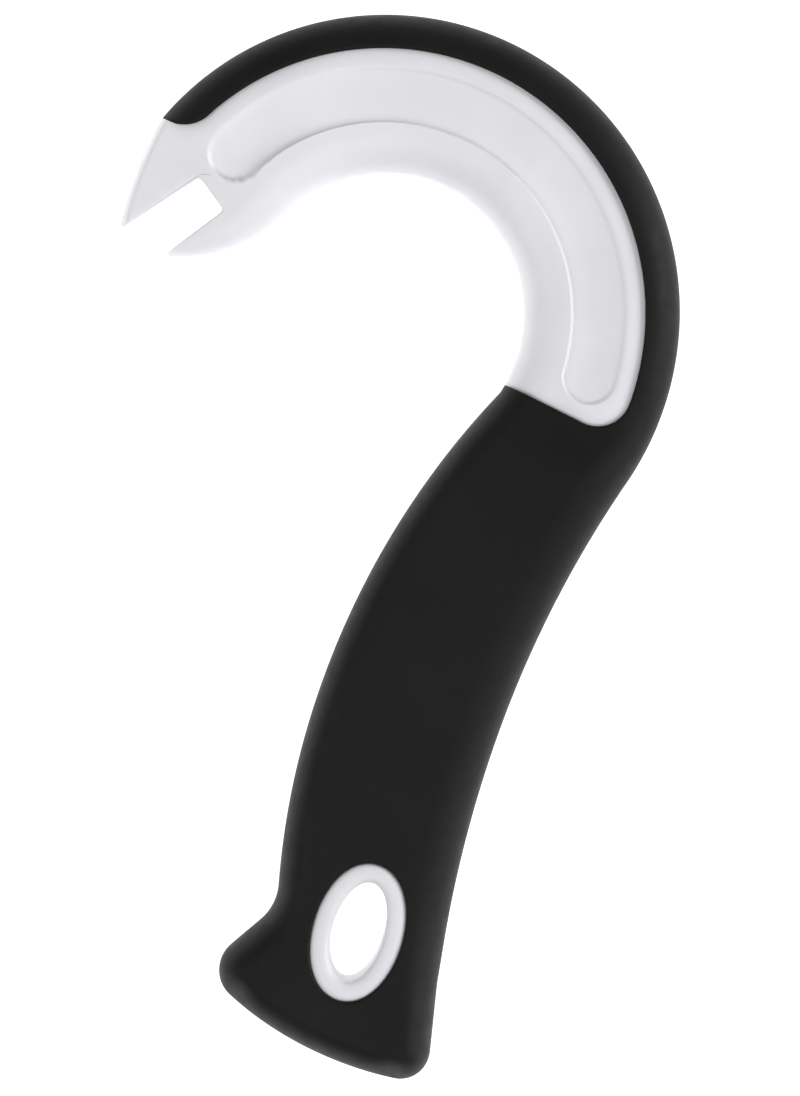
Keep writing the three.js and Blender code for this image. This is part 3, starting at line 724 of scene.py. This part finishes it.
@dataclass
class Head:
    """Hard white hook with its forked tip, on both faces."""

    outline: Outline
    placing: Placing
    thickness: float = 12.0
    tip_thickness: float = 5.2
    inner_round: float = 7.0
    prong_round: float = 1.6
    lip: float = 0.38
    seam_gap: float = -0.03
    roll_width: float = 2.7
    roll_depth: float = 0.55

    slot_width: float = 7.0
    slot_angle: float = 147.2
    slot_from_back: float = 14.1
    slot_turn: float = 21.3
    slot_flare: float = 2.5
    slot_corner: float = 0.7

    first_turn: float = -20.0
    last_turn: float = 118.0
    lobe_rows: int = 57
    hook_rows: int = 213
    fork_rows: int = 77
    fillet_reach: float = 0.4
    fillet_steps: int = 6
    runs: tuple[tuple[float, float, int], ...] = (
        (0.4, 3.2, 8), (3.2, 5.6, 15), (5.6, 10.9, 17), (10.9, 13.4, 19),
    )
    bow_steps: int = 22
    slot_columns: tuple[int, int] = (40, 54)

    channel: Channel = field(init=False)
    floor: Array = field(init=False)
    out: Array = field(init=False)
    outer_out: Array = field(init=False)
    side: Array = field(init=False)
    lower_tip: Array = field(init=False)
    upper_tip: Array = field(init=False)

    def __post_init__(self) -> None:
        """Works out the channel, the slot's floor and directions, and the prongs' tips."""
        self.channel = Channel(self.outline)
        back = float(self.outline.back_radius(self.slot_angle))
        self.floor = polar(self.slot_angle, back - self.slot_from_back)
        self.out = polar(self.slot_angle + 90.0 - self.slot_turn, 1.0)
        self.outer_out = polar(self.slot_angle + 90.0 - self.slot_turn - self.slot_flare, 1.0)
        self.side = polar(self.slot_angle + 180.0 - self.slot_turn, 1.0)
        self.lower_tip = self.outline.flare()[-1]
        self.upper_tip = self.outline.upper_tip()

    @property
    def slot_half(self) -> float:
        """Half the slot's width."""
        return self.slot_width / 2.0

    # -- rails --

    def seam_edge(self) -> Array:
        """The head's own edge along the seam: the seam line drawn in by the gap."""
        line = resample(self.outline.seam(), np.linspace(0.0, 1.0, 700))
        along = np.gradient(line, axis=0)
        along /= np.linalg.norm(along, axis=1)[:, None]
        inward = np.stack([along[:, 1], -along[:, 0]], axis=-1)
        reach = np.linspace(0.0, 1.0, len(line))
        taper = ease(reach * 60.0) * ease((1.0 - reach) * 60.0)
        return line + inward * (self.seam_gap * taper)[:, None]

    def corner_index(self, line: Array) -> int:
        """Place on the seam edge where the lobe's corner turns most."""
        corner = polar(self.outline.lobe_angle, self.outline.spine_radius(self.outline.lobe_angle))
        return int(np.argmin(np.linalg.norm(line - corner, axis=1)))

    def slot_boundary(self) -> Array:
        """Slot's edge from its outer side's end, round the floor, to its inner side's end."""
        corner = self.slot_corner
        outer = self.floor - self.side * self.slot_half
        inner = self.floor + self.side * self.slot_half
        return np.concatenate([
            (outer + self.outer_out * 30.0)[None],
            round_corner(outer + self.outer_out, outer, inner, corner, 10),
            round_corner(outer, inner, inner + self.out, corner, 10),
            (inner + self.out * 30.0)[None],
        ])

    def end_place(self, side: float, out: Array) -> Array:
        """Where a side of the slot crosses the line between the two tips."""
        start = self.floor + self.side * side
        tips = self.upper_tip - self.lower_tip
        reach = np.linalg.solve(np.stack([out, -tips], axis=1), self.lower_tip - start)[0]
        return start + out * reach

    # -- heights --

    def height(self, plan: Array) -> Array:
        """Height of the front face over the middle plane.

        The half thickness grows evenly from the tips to the flare. It is multiplied by a
        quarter-round factor of the distance to each edge, rolled down towards the seam by the
        square of the nearness, and the channel is taken off.
        """
        angle, radius = bearings(plan)
        flare_centre = polar(
            self.outline.flare_angle,
            self.outline.inside_radius(self.outline.flare_angle) + self.outline.flare_radius,
        )
        to_bow = radius - self.outline.inside_radius(angle)
        to_flare = self.outline.flare_radius - np.linalg.norm(plan - flare_centre, axis=-1)
        to_inside = np.maximum(np.where(angle < self.outline.flare_angle, to_bow, to_flare), 0.0)

        tips = np.stack([self.lower_tip, self.upper_tip])
        to_end = distance_to(plan, tips)
        past_flare = (plan * polar(self.outline.flare_angle + 90.0, 1.0)).sum(axis=-1)
        grown = 1.0 - np.clip(past_flare / (np.abs(past_flare) + to_end), 0.0, 1.0)
        half = mix(self.tip_thickness, self.thickness, grown) / 2.0

        height = half * edge_round(to_inside, mix(self.prong_round, self.inner_round, grown))
        height *= edge_round(distance_to(plan, self.outline.upper_prong()), self.prong_round)
        height *= edge_round(to_end, self.prong_round)
        to_slot = distance_to(plan, self.slot_boundary())
        height *= 1.0 - self.lip / half * (1.0 - edge_round(to_slot, self.lip))
        to_seam = distance_to(plan, self.outline.seam())
        nearness = np.clip(1.0 - to_seam / self.roll_width, 0.0, 1.0)
        height *= 1.0 - self.roll_depth / half * nearness**2
        return height + self.channel.sink(plan) * ease(height / half)

    # -- surface --

    def rows(self) -> tuple[Array, Array, Array]:
        """Ends of the rows from the straight seam to the slot's floor.

        Returns:
            The inner ends, the outer ends, and each row's share of the way to the slot.
        """
        o = self.outline
        first, last = self.first_turn, self.last_turn
        edge = self.seam_edge()
        around = edge[: self.corner_index(edge) + 1][::-1]
        angle = np.degrees(np.arctan2(around[:, 1], around[:, 0]))
        lobe = around[angle < first]
        tongue = around[angle > last]

        close = np.cumsum(np.linspace(0.12, 1.0, self.lobe_rows - 1))
        close = np.concatenate([[0.0], close / close[-1]])
        bow_from = o.hook_inside(o.seam_angle, first, 60)
        lobe_rows = resample(bow_from, close), resample(lobe, close)
        angles = np.linspace(first, last, self.hook_rows + 2)[1:-1]
        spine = o.spine_radius(angles) - self.seam_gap
        hook_rows = polar(angles, o.inside_radius(angles)), polar(angles, spine)
        growth = np.cumsum(np.linspace(0.03, 1.0, self.fork_rows - 1))
        opening = 1.0 - np.concatenate([[0.0], growth])[::-1]
        opening = (opening - opening.min()) / (opening.max() - opening.min())
        flare = np.concatenate([o.hook_inside(last, o.flare_angle, 40)[:-1], self._on_flare()])
        prong = np.concatenate([tongue, self._on_prong()])
        fork_rows = resample(flare, opening), resample(prong, opening)
        inner = np.concatenate([lobe_rows[0], hook_rows[0], fork_rows[0]])
        outer = np.concatenate([lobe_rows[1], hook_rows[1], fork_rows[1]])
        share = np.concatenate([np.zeros(len(close) + len(angles)), opening])
        return inner, outer, share

    def _on_flare(self) -> Array:
        """Inside edge from the flare's start to the row through the slot's floor."""
        line = self.outline.flare(400)
        beyond = ((line - self.floor) * self.out).sum(axis=1) >= 0.0
        return line[: int(np.argmax(beyond)) + 1]

    def _on_prong(self) -> Array:
        """Upper prong's edge from the tongue to the row through the slot's floor."""
        line = self.outline.upper_prong(600)
        beyond = ((line - self.floor) * self.out).sum(axis=1) >= 0.0
        return line[: int(np.argmax(beyond)) + 1]

    def _rows_on_prong(self, share: Array, outer: Array) -> int:
        """Number of rows whose outer end lies on the silhouette, past the tongue."""
        tip = self.outline.seam()[0]
        past = ((outer - tip) * self.out).sum(axis=1) >= -1e-6
        outside = np.linalg.norm(outer, axis=1) > np.linalg.norm(tip) - 0.35
        return int(np.count_nonzero(past & outside & (share > 0.0)))

    def _hook_columns(self, width: Array) -> Array:
        """Fractions across the hook's rows.

        The first columns keep their distance from the seam, and are closest in the seam's
        rounded edge and along the channel's walls. From the last of them to the bow the k-th of
        n steps stands at sin(90 k / n degrees) of what is left.

        Args:
            width: each row's width.

        Returns:
            One row of fractions, from 0 to 1, for each width.
        """
        quarter = np.linspace(0.0, np.pi / 2.0, self.fillet_steps)
        fixed = np.concatenate([
            self.fillet_reach * (1.0 - np.cos(quarter)),
            *(np.linspace(start, end, count)[1:] for start, end, count in self.runs),
        ])
        turn = np.sin(np.linspace(0.0, np.pi / 2.0, self.bow_steps))[1:]
        ends = fixed[-1] + (width[:, None] - fixed[-1]) * turn
        near = np.broadcast_to(fixed, (len(width), len(fixed)))
        return np.concatenate([near, ends], axis=1) / width[:, None]

    def _fork_row(self, inner: Array, outer: Array, columns: int) -> ForkRow:
        """Lays out the row through the slot's floor.

        Args:
            inner: the row's end on the flare.
            outer: its end on the upper prong.
            columns: number of points on it.

        Returns:
            The row, with a column at each side of the slot.
        """
        line = inner - outer
        reach = float(np.linalg.norm(line))
        centre = float((self.floor - outer) @ (line / reach))
        left, right = centre - self.slot_half, centre + self.slot_half
        first, last = self.slot_columns
        edges = 12, 6
        even = first - sum(edges), columns - 1 - last - sum(edges)
        outer_part = left * spread(
            np.array([left]), self.prong_round, self.lip, (edges[0], even[0], edges[1]))[0]
        floor_turn = np.sin(np.linspace(-np.pi / 2.0, np.pi / 2.0, last - first + 1))
        floor_part = centre + self.slot_half * floor_turn
        inner_part = right + (reach - right) * spread(
            np.array([reach - right]), self.lip, 3.4, (edges[1], even[1], edges[0]))[0]
        places = np.concatenate([outer_part, floor_part[1:-1], inner_part])
        return ForkRow(places / reach, reach, centre, left, right)

    def _corner_rise(self, row: ForkRow) -> Array:
        """How far each column of the fork's row is drawn out to round the slot's corners.

        It is r - sqrt(r^2 - d^2), with r the corner's radius and d the distance past the arc's
        start. It fades out beyond the slot's sides.
        """
        corner, at = self.slot_corner, row.fractions * row.reach
        inside = np.clip(np.abs(at - row.centre) - (self.slot_half - corner), 0.0, corner)
        rise = corner - np.sqrt(np.maximum(corner**2 - inside**2, 0.0))
        beyond = np.clip((at - row.right) / (row.reach - row.right), 0.0, 1.0)
        beyond = beyond + np.clip((row.left - at) / row.left, 0.0, 1.0)
        return rise * (1.0 - ease(beyond))

    def _main_sheet(self, inner: Array, outer: Array, share: Array, row: ForkRow) -> Array:
        """Plan of the sheet from the straight seam round to the slot's floor.

        Each row's columns pass from the hook's to the fork's as the rows near the slot. The first
        rows are bent so that the first of all follows the straight seam.

        Args:
            inner: the rows' inner ends.
            outer: the rows' outer ends.
            share: each row's share of the way to the slot.
            row: the row through the slot's floor.

        Returns:
            The sheet's points in the plane.
        """
        hook = self._hook_columns(np.linalg.norm(inner - outer, axis=1))
        fractions = hook + (row.fractions[None, :] - hook) * ease(share)[:, None]
        plan = across(outer, inner, fractions)
        seam = self.seam_edge()
        bend = resample(seam[self.corner_index(seam):], fractions[0]) - plan[0]
        fade = 1.0 - ease(np.arange(len(plan)) / (0.8 * self.lobe_rows))
        plan = plan + bend[None] * fade[:, None, None]
        lift = np.clip((share - 0.55) / 0.45, 0.0, 1.0) ** 2
        return plan + (lift[:, None] * self._corner_rise(row)[None, :])[..., None] * self.out

    def _add_prongs(self, shell: Shell, row: ForkRow, plan: Array, height: Array) -> None:
        """Adds the two prongs' sheets and the slot's side walls.

        Args:
            shell: the shell that takes them.
            row: the row through the slot's floor.
            plan: that row's points in the plane.
            height: that row's heights.
        """
        first, last = self.slot_columns
        steps = 1.0 - (1.0 - np.linspace(0.0, 1.0, 60)) ** 1.8
        prong_edge = self.outline.upper_prong(600)[len(self._on_prong()) - 1:]
        flare_edge = self.outline.flare(400)[len(self._on_flare()) - 1:]
        outer_side = mix(
            plan[first], self.end_place(-self.slot_half, self.outer_out), steps[:, None])
        inner_side = mix(plan[last], self.end_place(self.slot_half, self.out), steps[:, None])
        at = row.fractions * row.reach
        part = at[: first + 1] / row.left
        upper = across(resample(prong_edge, steps), outer_side,
                       np.broadcast_to(part, (len(steps), len(part))))
        part = (at[last:] - row.right) / (row.reach - row.right)
        lower = across(inner_side, resample(flare_edge, steps),
                       np.broadcast_to(part, (len(steps), len(part))))
        for sheet, shared, silhouette, slot_column in (
            (upper, slice(0, first + 1), 0, -1), (lower, slice(last, None), -1, 0)
        ):
            fade = 1.0 - ease(np.arange(len(sheet)) / (0.6 * len(sheet)))
            sheet += (plan[shared] - sheet[0])[None] * fade[:, None, None]
            rise = self.height(sheet)
            rise[:, silhouette] = 0.0
            rise[-1] = 0.0
            rise[0] = height[shared]
            shell.add_faces(sheet, rise)
            shell.add_wall(sheet[:, slot_column], rise[:, slot_column])

    def build(self) -> bpy.types.Object:
        """Builds the closed head.

        The main sheet runs from the straight seam round to the slot's floor. Its last row is
        split at the slot's sides, where the two prongs' sheets carry on to the tips.
        """
        inner, outer, share = self.rows()
        columns = self.fillet_steps + sum(run[2] - 1 for run in self.runs) + self.bow_steps - 1
        row = self._fork_row(inner[-1], outer[-1], columns)
        plan = self._main_sheet(inner, outer, share, row)
        tongue = len(plan) - self._rows_on_prong(share, outer)
        height = self.height(plan)
        height[:, -1] = 0.0
        height[tongue:, 0] = 0.0

        first, last = self.slot_columns
        shell = Shell("hook_head", self.placing)
        shell.add_faces(plan, height)
        shell.add_wall(plan[0], height[0])
        shell.add_wall(plan[: tongue + 1, 0], height[: tongue + 1, 0])
        shell.add_wall(plan[-1, first : last + 1], height[-1, first : last + 1])
        self._add_prongs(shell, row, plan[-1], height[-1])
        return shell.build()

    def dress(self) -> bpy.types.Object:
        """Builds the head with its finish and its place in the model."""
        piece = self.build()
        piece.data.materials.append(HARD_WHITE.make())
        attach(piece, BODY)
        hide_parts("hook_core")
        return piece


@dataclass
class Eyelet:
    """Rounded oval bush that lines the hanging hole."""

    outline: Outline
    placing: Placing
    back: float = 24.5
    out: float = 0.5
    turn: float = 10.5
    hole_long: float = 8.35
    hole_short: float = 4.25
    wall: float = 3.25
    half_depth: float = 7.6
    edge: float = 1.3
    squareness: float = 2.5

    def centre(self) -> Array:
        """Middle of the hole."""
        return self.outline.handle_place(self.outline.handle_length - self.back, self.out)

    def loop(self, angles: Array, outward: Array | float) -> Array:
        """Points round the hole: an ellipse, moved out along its own normal.

        Args:
            angles: the ellipse's running angle, in radians.
            outward: distance out from the ellipse.

        Returns:
            The points, turned to the hole's own lean and set about its centre.
        """
        cos, sin = np.cos(angles), np.sin(angles)
        normal = np.stack([cos / self.hole_long, sin / self.hole_short], axis=-1)
        normal /= np.linalg.norm(normal, axis=-1, keepdims=True)
        spot = np.stack([self.hole_long * cos, self.hole_short * sin], axis=-1)
        spot = spot + normal * np.asarray(outward)[..., None]
        lean = np.radians(90.0 - self.outline.tail_tilt - self.turn)
        along = np.array([np.cos(lean), np.sin(lean)])
        beside = np.array([-np.sin(lean), np.cos(lean)])
        return self.centre() + spot[..., :1] * along + spot[..., 1:] * beside

    def build(self) -> bpy.types.Object:
        """Builds the bush: a section with two round-edged ends, carried round the oval.

        Each end is half of a superellipse, flatter on top than a half circle.
        """
        around = np.linspace(0.0, 2.0 * np.pi, 241)
        turn = np.linspace(0.0, np.pi, 33)
        power = 2.0 / self.squareness
        out = np.sign(np.cos(turn)) * np.abs(np.cos(turn)) ** power
        rise = np.abs(np.sin(turn)) ** power
        upper = np.stack([
            self.wall / 2.0 * (1.0 - out), self.half_depth - self.edge * (1.0 - rise)
        ], axis=-1)
        lower = upper[::-1] * np.array([1.0, -1.0])
        section = np.concatenate([upper, lower, upper[:1]])
        angles = np.broadcast_to(around[:, None], (len(around), len(section)))
        plan = self.loop(angles, section[None, :, 0])
        height = np.broadcast_to(section[None, :, 1], plan.shape[:2])
        shell = Shell("hanging_bush", self.placing)
        shell.add_grid(np.concatenate([plan, height[..., None]], axis=-1))
        return shell.build()

    def dress(self) -> bpy.types.Object:
        """Builds the bush with its finish and its place in the model."""
        piece = self.build()
        piece.data.materials.append(EYELET_WHITE.make())
        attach(piece, BODY)
        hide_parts("hanging_eyelet")
        return piece


@dataclass
class Grip:
    """Soft black back and handle, moulded over the core, on both faces."""

    outline: Outline
    placing: Placing
    eyelet: Eyelet
    back_thickness: float = 13.0
    handle_thickness: float = 15.6
    swell_from: float = -42.0
    swell_to: float = 8.0
    back_round: float = 6.2
    right_round: float = 7.6
    left_round: float = 5.2
    tail_round: float = 5.0
    lip: float = 0.5
    swell_from_seam: float = 9.0
    seat_gap: float = -0.03
    seat_fillet: float = 0.45
    seat_margins: tuple[float, float] = (1.4, 1.9)
    split_angle: float = -34.0
    split_share: float = 0.46
    settle_reach: float = 16.0
    plain_edge: float = 2.4

    def height(self, plan: Array) -> Array:
        """Height of the front face over the middle plane.

        The half thickness swells along the centreline from the hook's back to the handle. It is
        multiplied by a quarter-round factor of the distance to each silhouette edge and to the
        seam.
        """
        o = self.outline
        hook = polar(np.linspace(o.tongue_angle, o.throat_angle, 181), o.hook_radius)
        alongs = np.linspace(0.0, o.handle_length, 120)
        centreline = np.concatenate([hook[:-1], o.handle_place(alongs, 0.0)])
        before = np.radians(o.tongue_angle - o.throat_angle) * o.hook_radius
        along = reach_along(plan, centreline) - before
        swell = ease((along - self.swell_from) / (self.swell_to - self.swell_from))
        half = mix(self.back_thickness, self.handle_thickness, swell) / 2.0
        seam = distance_to(plan, o.seam())
        back = self.back_thickness / 2.0
        half = back + (half - back) * ease(seam / self.swell_from_seam)

        tailward = ease((along - o.tail_start) / (o.handle_length - o.tail_start))
        right_round = mix(mix(self.back_round, self.right_round, swell), self.tail_round, tailward)
        right = np.concatenate([o.hook_back(o.tongue_angle, o.throat_angle), o.handle_right()])
        height = half * edge_round(distance_to(plan, right), right_round)
        height *= edge_round(distance_to(plan, o.handle_left()), self.left_round)
        height *= edge_round(distance_to(plan, o.tail_end()), self.tail_round)
        height *= 1.0 - self.lip / half * (1.0 - edge_round(seam, self.lip))
        return height

    def _tip_rows(self, seam: Array, turn: int) -> tuple[Array, Array]:
        """Ends of the rows across the hook's back: silhouette ends and seam ends."""
        o = self.outline
        angle = np.degrees(np.arctan2(seam[:, 1], seam[:, 0]))
        first, last = 130.0, -20.0
        tongue = seam[: turn + 1][angle[: turn + 1] > first]
        lobe = seam[: turn + 1][angle[: turn + 1] < last]
        close = np.linspace(0.0, 1.0, 41) ** 1.5
        angles = np.linspace(first, last, 222)[1:-1]
        even = np.linspace(0.0, 1.0, 41)
        outer = np.concatenate([
            resample(o.hook_back(o.tongue_angle, first, 60), close),
            polar(angles, o.back_radius(angles)),
            resample(o.hook_back(last, self.split_angle, 60), even),
        ])
        inner = np.concatenate([resample(tongue, close), polar(angles, o.spine_radius(angles)),
                                resample(lobe, even)])
        return outer, inner

    def build(self) -> bpy.types.Object:
        """Builds the closed grip.

        One sheet covers the hook's back, from the tongue to the middle of the lobe's corner. A
        second one carries on from there: its first row follows the rest of the seam, and its
        rows straighten as they go down the handle. A ring of quads leads to the eyelet's seat.
        """
        o = self.outline
        seam = resample(o.seam(), np.linspace(0.0, 1.0, 1400))
        corner = polar(o.lobe_angle, o.spine_radius(o.lobe_angle))
        turn = int(np.argmin(np.linalg.norm(seam - corner, axis=1)))
        shell = Shell("soft_handle", self.placing)

        outer, inner = self._tip_rows(seam, turn)
        width = np.linalg.norm(outer - inner, axis=1)
        counts = (14, 9, 7)
        plan = across(outer, inner, spread(width, self.back_round, self.lip, counts))
        height = self.height(plan)
        height[:, 0] = 0.0
        height[0] = 0.0
        shell.add_faces(plan, height)
        shell.add_wall(plan[:, -1], height[:, -1])
        top_row, top_height = plan[-1], height[-1]

        rights, lefts, row_places = self._handle_rows()
        width = np.linalg.norm(rights - lefts, axis=1)
        chord = (lefts[0] - rights[0]) / width[0]
        share = float((inner[-1] - rights[0]) @ chord) / width[0]
        settle = ease(row_places / self.settle_reach)
        splits = mix(rights, lefts, mix(share, self.split_share, settle)[:, None])
        splits += (1.0 - settle)[:, None] * (inner[-1] - splits[0])
        right_width = np.linalg.norm(splits - rights, axis=1)
        steep = mix(self.back_round, self.right_round, settle)
        soft_lip = mix(self.lip, self.plain_edge, settle)
        right = across(rights, splits, spread(right_width, steep, soft_lip, counts))
        right += (top_row - right[0])[None] * (1.0 - settle)[:, None, None]
        left_width = np.linalg.norm(lefts - splits, axis=1)
        near = mix(0.6, self.plain_edge, settle)
        fractions = spread(left_width, near, self.left_round, (4, 26, 14))
        left = across(splits, lefts, fractions)
        bend = resample(seam[turn:], fractions[0]) - left[0]
        left += bend[None] * (1.0 - settle)[:, None, None]
        plan = np.concatenate([right, left[:, 1:]], axis=1)

        end = o.tail_end(400)
        tail_share = (row_places - o.tail_start) / (o.handle_length - o.tail_start)
        tail_share = np.clip(tail_share, 0.0, 1.0)
        reach = np.linalg.norm(plan[-1] - plan[-1, 0], axis=1)
        bulge = resample(end, reach / reach[-1]) - plan[-1]
        plan = plan + bulge[None] * (tail_share**2)[:, None, None]

        height = self.height(plan)
        height[:, 0] = 0.0
        height[:, -1] = 0.0
        height[-1] = 0.0
        height[0, : len(top_height)] = top_height
        keep = self._seat(shell, plan, height, row_places)
        shell.add_faces(plan, height, keep)
        first = len(top_height) - 1
        shell.add_wall(plan[0, first:], height[0, first:])
        return shell.build()

    def _handle_rows(self) -> tuple[Array, Array, Array]:
        """Right ends, left ends and places along the handle of the rows, seam to tail."""
        o = self.outline
        close = np.concatenate([[0.0], np.cumsum(np.linspace(0.04, 1.0, 16))])
        close = (close / close[-1])[:-1]
        even, last_even = 0.8, 74.0
        alongs = np.concatenate([
            np.arange(0.0, last_even, even), np.linspace(last_even, o.tail_start, 20)[:-1]
        ])
        tail = np.concatenate([np.linspace(0.0, 0.72, 60), 0.72 + 0.28 * np.sin(
            np.linspace(0.0, np.pi / 2.0, 26))[1:]])
        rights = np.concatenate([
            resample(o.hook_back(self.split_angle, o.throat_angle, 40), close),
            o.handle_place(alongs, -o.right_width(alongs)), resample(o.tail_right(), tail),
        ])
        lefts = np.concatenate([
            resample(o.hook_inside(o.seam_angle, o.throat_angle, 40), close),
            o.handle_place(alongs, o.left_width(alongs)), resample(o.tail_left(), tail),
        ])
        lead = np.radians(o.seam_angle - o.throat_angle) * o.hook_radius
        places = np.concatenate([
            (close - 1.0) * lead, alongs, mix(o.tail_start, o.handle_length, tail)
        ]) + lead
        return rights, lefts, places

    def _seat(self, shell: Shell, plan: Array, height: Array, places: Array) -> Array:
        """Cuts the eyelet's seat: a ring of quads from a block of the sheet to the oval edge.

        Args:
            shell: the shell that takes the ring and the seat's wall.
            plan: the sheet's points in the plane.
            height: the sheet's heights.
            places: each row's place along the handle; not used.

        Returns:
            True for each quad of the sheet that stays.
        """
        centre = self.eyelet.centre()
        long = self.eyelet.hole_long + self.eyelet.wall
        short = self.eyelet.hole_short + self.eyelet.wall
        lean = np.radians(90.0 - self.outline.tail_tilt)
        axis = np.array([np.cos(lean), np.sin(lean)])
        side = np.array([axis[1], -axis[0]])
        middle = plan[:, plan.shape[1] // 2]
        along = (middle - centre) @ axis
        rows = np.nonzero(np.abs(along) < long + self.seat_margins[0])[0]
        beside = (plan[rows[len(rows) // 2]] - centre) @ side
        columns = np.nonzero(np.abs(beside) < short + self.seat_margins[1])[0]
        top, bottom, first, last = rows[0], rows[-1], columns[0], columns[-1]
        keep = np.ones((plan.shape[0] - 1, plan.shape[1] - 1), dtype=bool)
        keep[top:bottom, first:last] = False

        def ring(grid: Array) -> Array:
            """Border of the block, as a closed line."""
            return np.concatenate([
                grid[top, first:last], grid[top:bottom, last], grid[bottom, last:first:-1],
                grid[bottom:top:-1, first], grid[top, first : first + 1],
            ])

        border, border_height = ring(plan), ring(height)
        angles = np.linspace(0.0, 2.0 * np.pi, 1441)[:-1]
        oval = self.eyelet.loop(angles, np.full(1440, self.eyelet.wall + self.seat_gap))
        bearing = np.arctan2(oval[:, 1] - centre[1], oval[:, 0] - centre[0])
        order = np.argsort(bearing)
        to_border = np.arctan2(border[:, 1] - centre[1], border[:, 0] - centre[0])
        edge = np.stack([
            np.interp(to_border, bearing[order], oval[order, k], period=2.0 * np.pi) for k in (0, 1)
        ], axis=-1)
        gap = np.linalg.norm(border - edge, axis=1)
        shares = spread(gap, 0.5, 0.3, (6, 5, 1))
        sheet = across(edge, border, shares)
        rise = self.height(sheet)
        from_edge = shares * gap[:, None]
        rise -= self.seat_fillet * (1.0 - edge_round(from_edge, self.seat_fillet))
        rise[:, -1] = border_height
        shell.add_faces(sheet, rise)
        shell.add_wall(sheet[:, 0], rise[:, 0])
        return keep

    def dress(self) -> bpy.types.Object:
        """Builds the grip with its finish and its place in the model."""
        piece = self.build()
        piece.data.materials.append(SOFT_BLACK.make())
        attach(piece, BODY)
        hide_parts("soft_grip")
        return piece


# ---- studio -----------------------------------------------------------------------------------


@dataclass(frozen=True)
class Lamp:
    """Soft square studio light that faces the tool."""

    name: str
    spot: tuple[float, float, float]
    size: float
    watts: float

    def hang(self, aim: Array) -> None:
        """Adds the light, turned to the aim point."""
        light = bpy.data.lights.new(self.name, "AREA")
        light.shape = "SQUARE"
        light.size = self.size
        light.energy = self.watts
        lamp = bpy.data.objects.new(self.name, light)
        bpy.context.scene.collection.objects.link(lamp)
        lamp.location = self.spot
        toward = Vector(aim) - Vector(self.spot)
        lamp.rotation_euler = toward.to_track_quat("-Z", "Y").to_euler()


@dataclass
class Studio:
    """Pale floor, soft lights and a camera straight above the tool."""

    low: Array
    high: Array
    view_height: float = 0.18035
    distance: float = 0.75
    sensor: float = 36.0
    offset: tuple[float, float] = (0.0, -0.0002)
    floor_reach: float = 3.0
    floor_drop: float = 0.0002
    floor_glow: float = 1.03
    surround: float = 0.35

    def set_up(self) -> None:
        """Builds the floor, the world, the lights and the camera."""
        self._floor()
        self._world()
        aim = (self.low + self.high) / 2.0
        for lamp in (
            Lamp("left_softbox", (-0.9, -0.1, 1.2), 1.1, 6.5),
            Lamp("right_softbox", (1.3, 0.15, 0.5), 0.75, 12.0),
            Lamp("fill_softbox", (0.2, -0.8, 1.5), 1.2, 6.5),
        ):
            lamp.hang(aim)
        bpy.context.scene.view_settings.view_transform = "Standard"
        self._camera(aim)

    def _floor(self) -> None:
        """Plain pale floor just under the tool."""
        grid = np.linspace(-self.floor_reach, self.floor_reach, 5)
        x, y = np.meshgrid(grid, grid, indexing="ij")
        points = np.stack([x, y, np.full_like(x, self.low[2] - self.floor_drop)], axis=-1)
        index = np.arange(x.size).reshape(x.shape)
        quads = quads_between(index)
        mesh = bpy.data.meshes.new("studio_floor")
        mesh.from_pydata(points.reshape(-1, 3), [], quads.reshape(-1, 4))
        floor = bpy.data.objects.new("studio_floor", mesh)
        bpy.context.scene.collection.objects.link(floor)
        tree = NodeTree("pale_floor")
        cloud = tree.noise(3.0, 2.0, 0.5)
        tree.feed("Base Color", tree.ramp(cloud, (0.6, 0.6, 0.6), (0.62, 0.62, 0.62)))
        tree.fix(Roughness=0.9, Specular_IOR_Level=0.1, Emission_Strength=self.floor_glow)
        tree.shader.inputs["Emission Color"].default_value = (1.0, 1.0, 1.0, 1.0)
        mesh.materials.append(tree.material)
        floor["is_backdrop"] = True

    def _world(self) -> None:
        """Even pale surroundings."""
        world = bpy.data.worlds.new("studio_world")
        world.use_nodes = True
        surround = world.node_tree.nodes["Background"]
        surround.inputs["Color"].default_value = (1.0, 1.0, 1.0, 1.0)
        surround.inputs["Strength"].default_value = self.surround
        bpy.context.scene.world = world

    def _camera(self, aim: Array) -> None:
        """Camera that looks straight down, its frame sized at the tool's middle plane."""
        camera = bpy.data.cameras.new("overhead_camera")
        camera.sensor_width = self.sensor
        camera.sensor_fit = "VERTICAL"
        camera.sensor_height = self.sensor
        camera.lens = self.sensor * self.distance / self.view_height
        camera.clip_start, camera.clip_end = 0.05, 20.0
        eye = bpy.data.objects.new("overhead_camera", camera)
        eye.location = (aim[0] + self.offset[0], aim[1] + self.offset[1], aim[2] + self.distance)
        bpy.context.scene.collection.objects.link(eye)
        bpy.context.scene.camera = eye


# ---- whole ------------------------------------------------------------------------------------


def main() -> None:
    """Builds the opener round the frame, then its studio."""
    logging.basicConfig(level=logging.INFO, format="%(name)s %(message)s")
    cad_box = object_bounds()
    low, high = (np.array(corner, dtype=float) for corner in cad_box)
    outline = Outline()
    placing = Placing(outline, low, high)
    eyelet = Eyelet(outline, placing)
    for part in (Head(outline, placing), Grip(outline, placing, eyelet), eyelet):
        piece = part.dress()
        log.info("%s dressed in %s", piece.name, piece.data.materials[0].name)
    Studio(low, high).set_up()


if __name__ == "__main__":
    main()
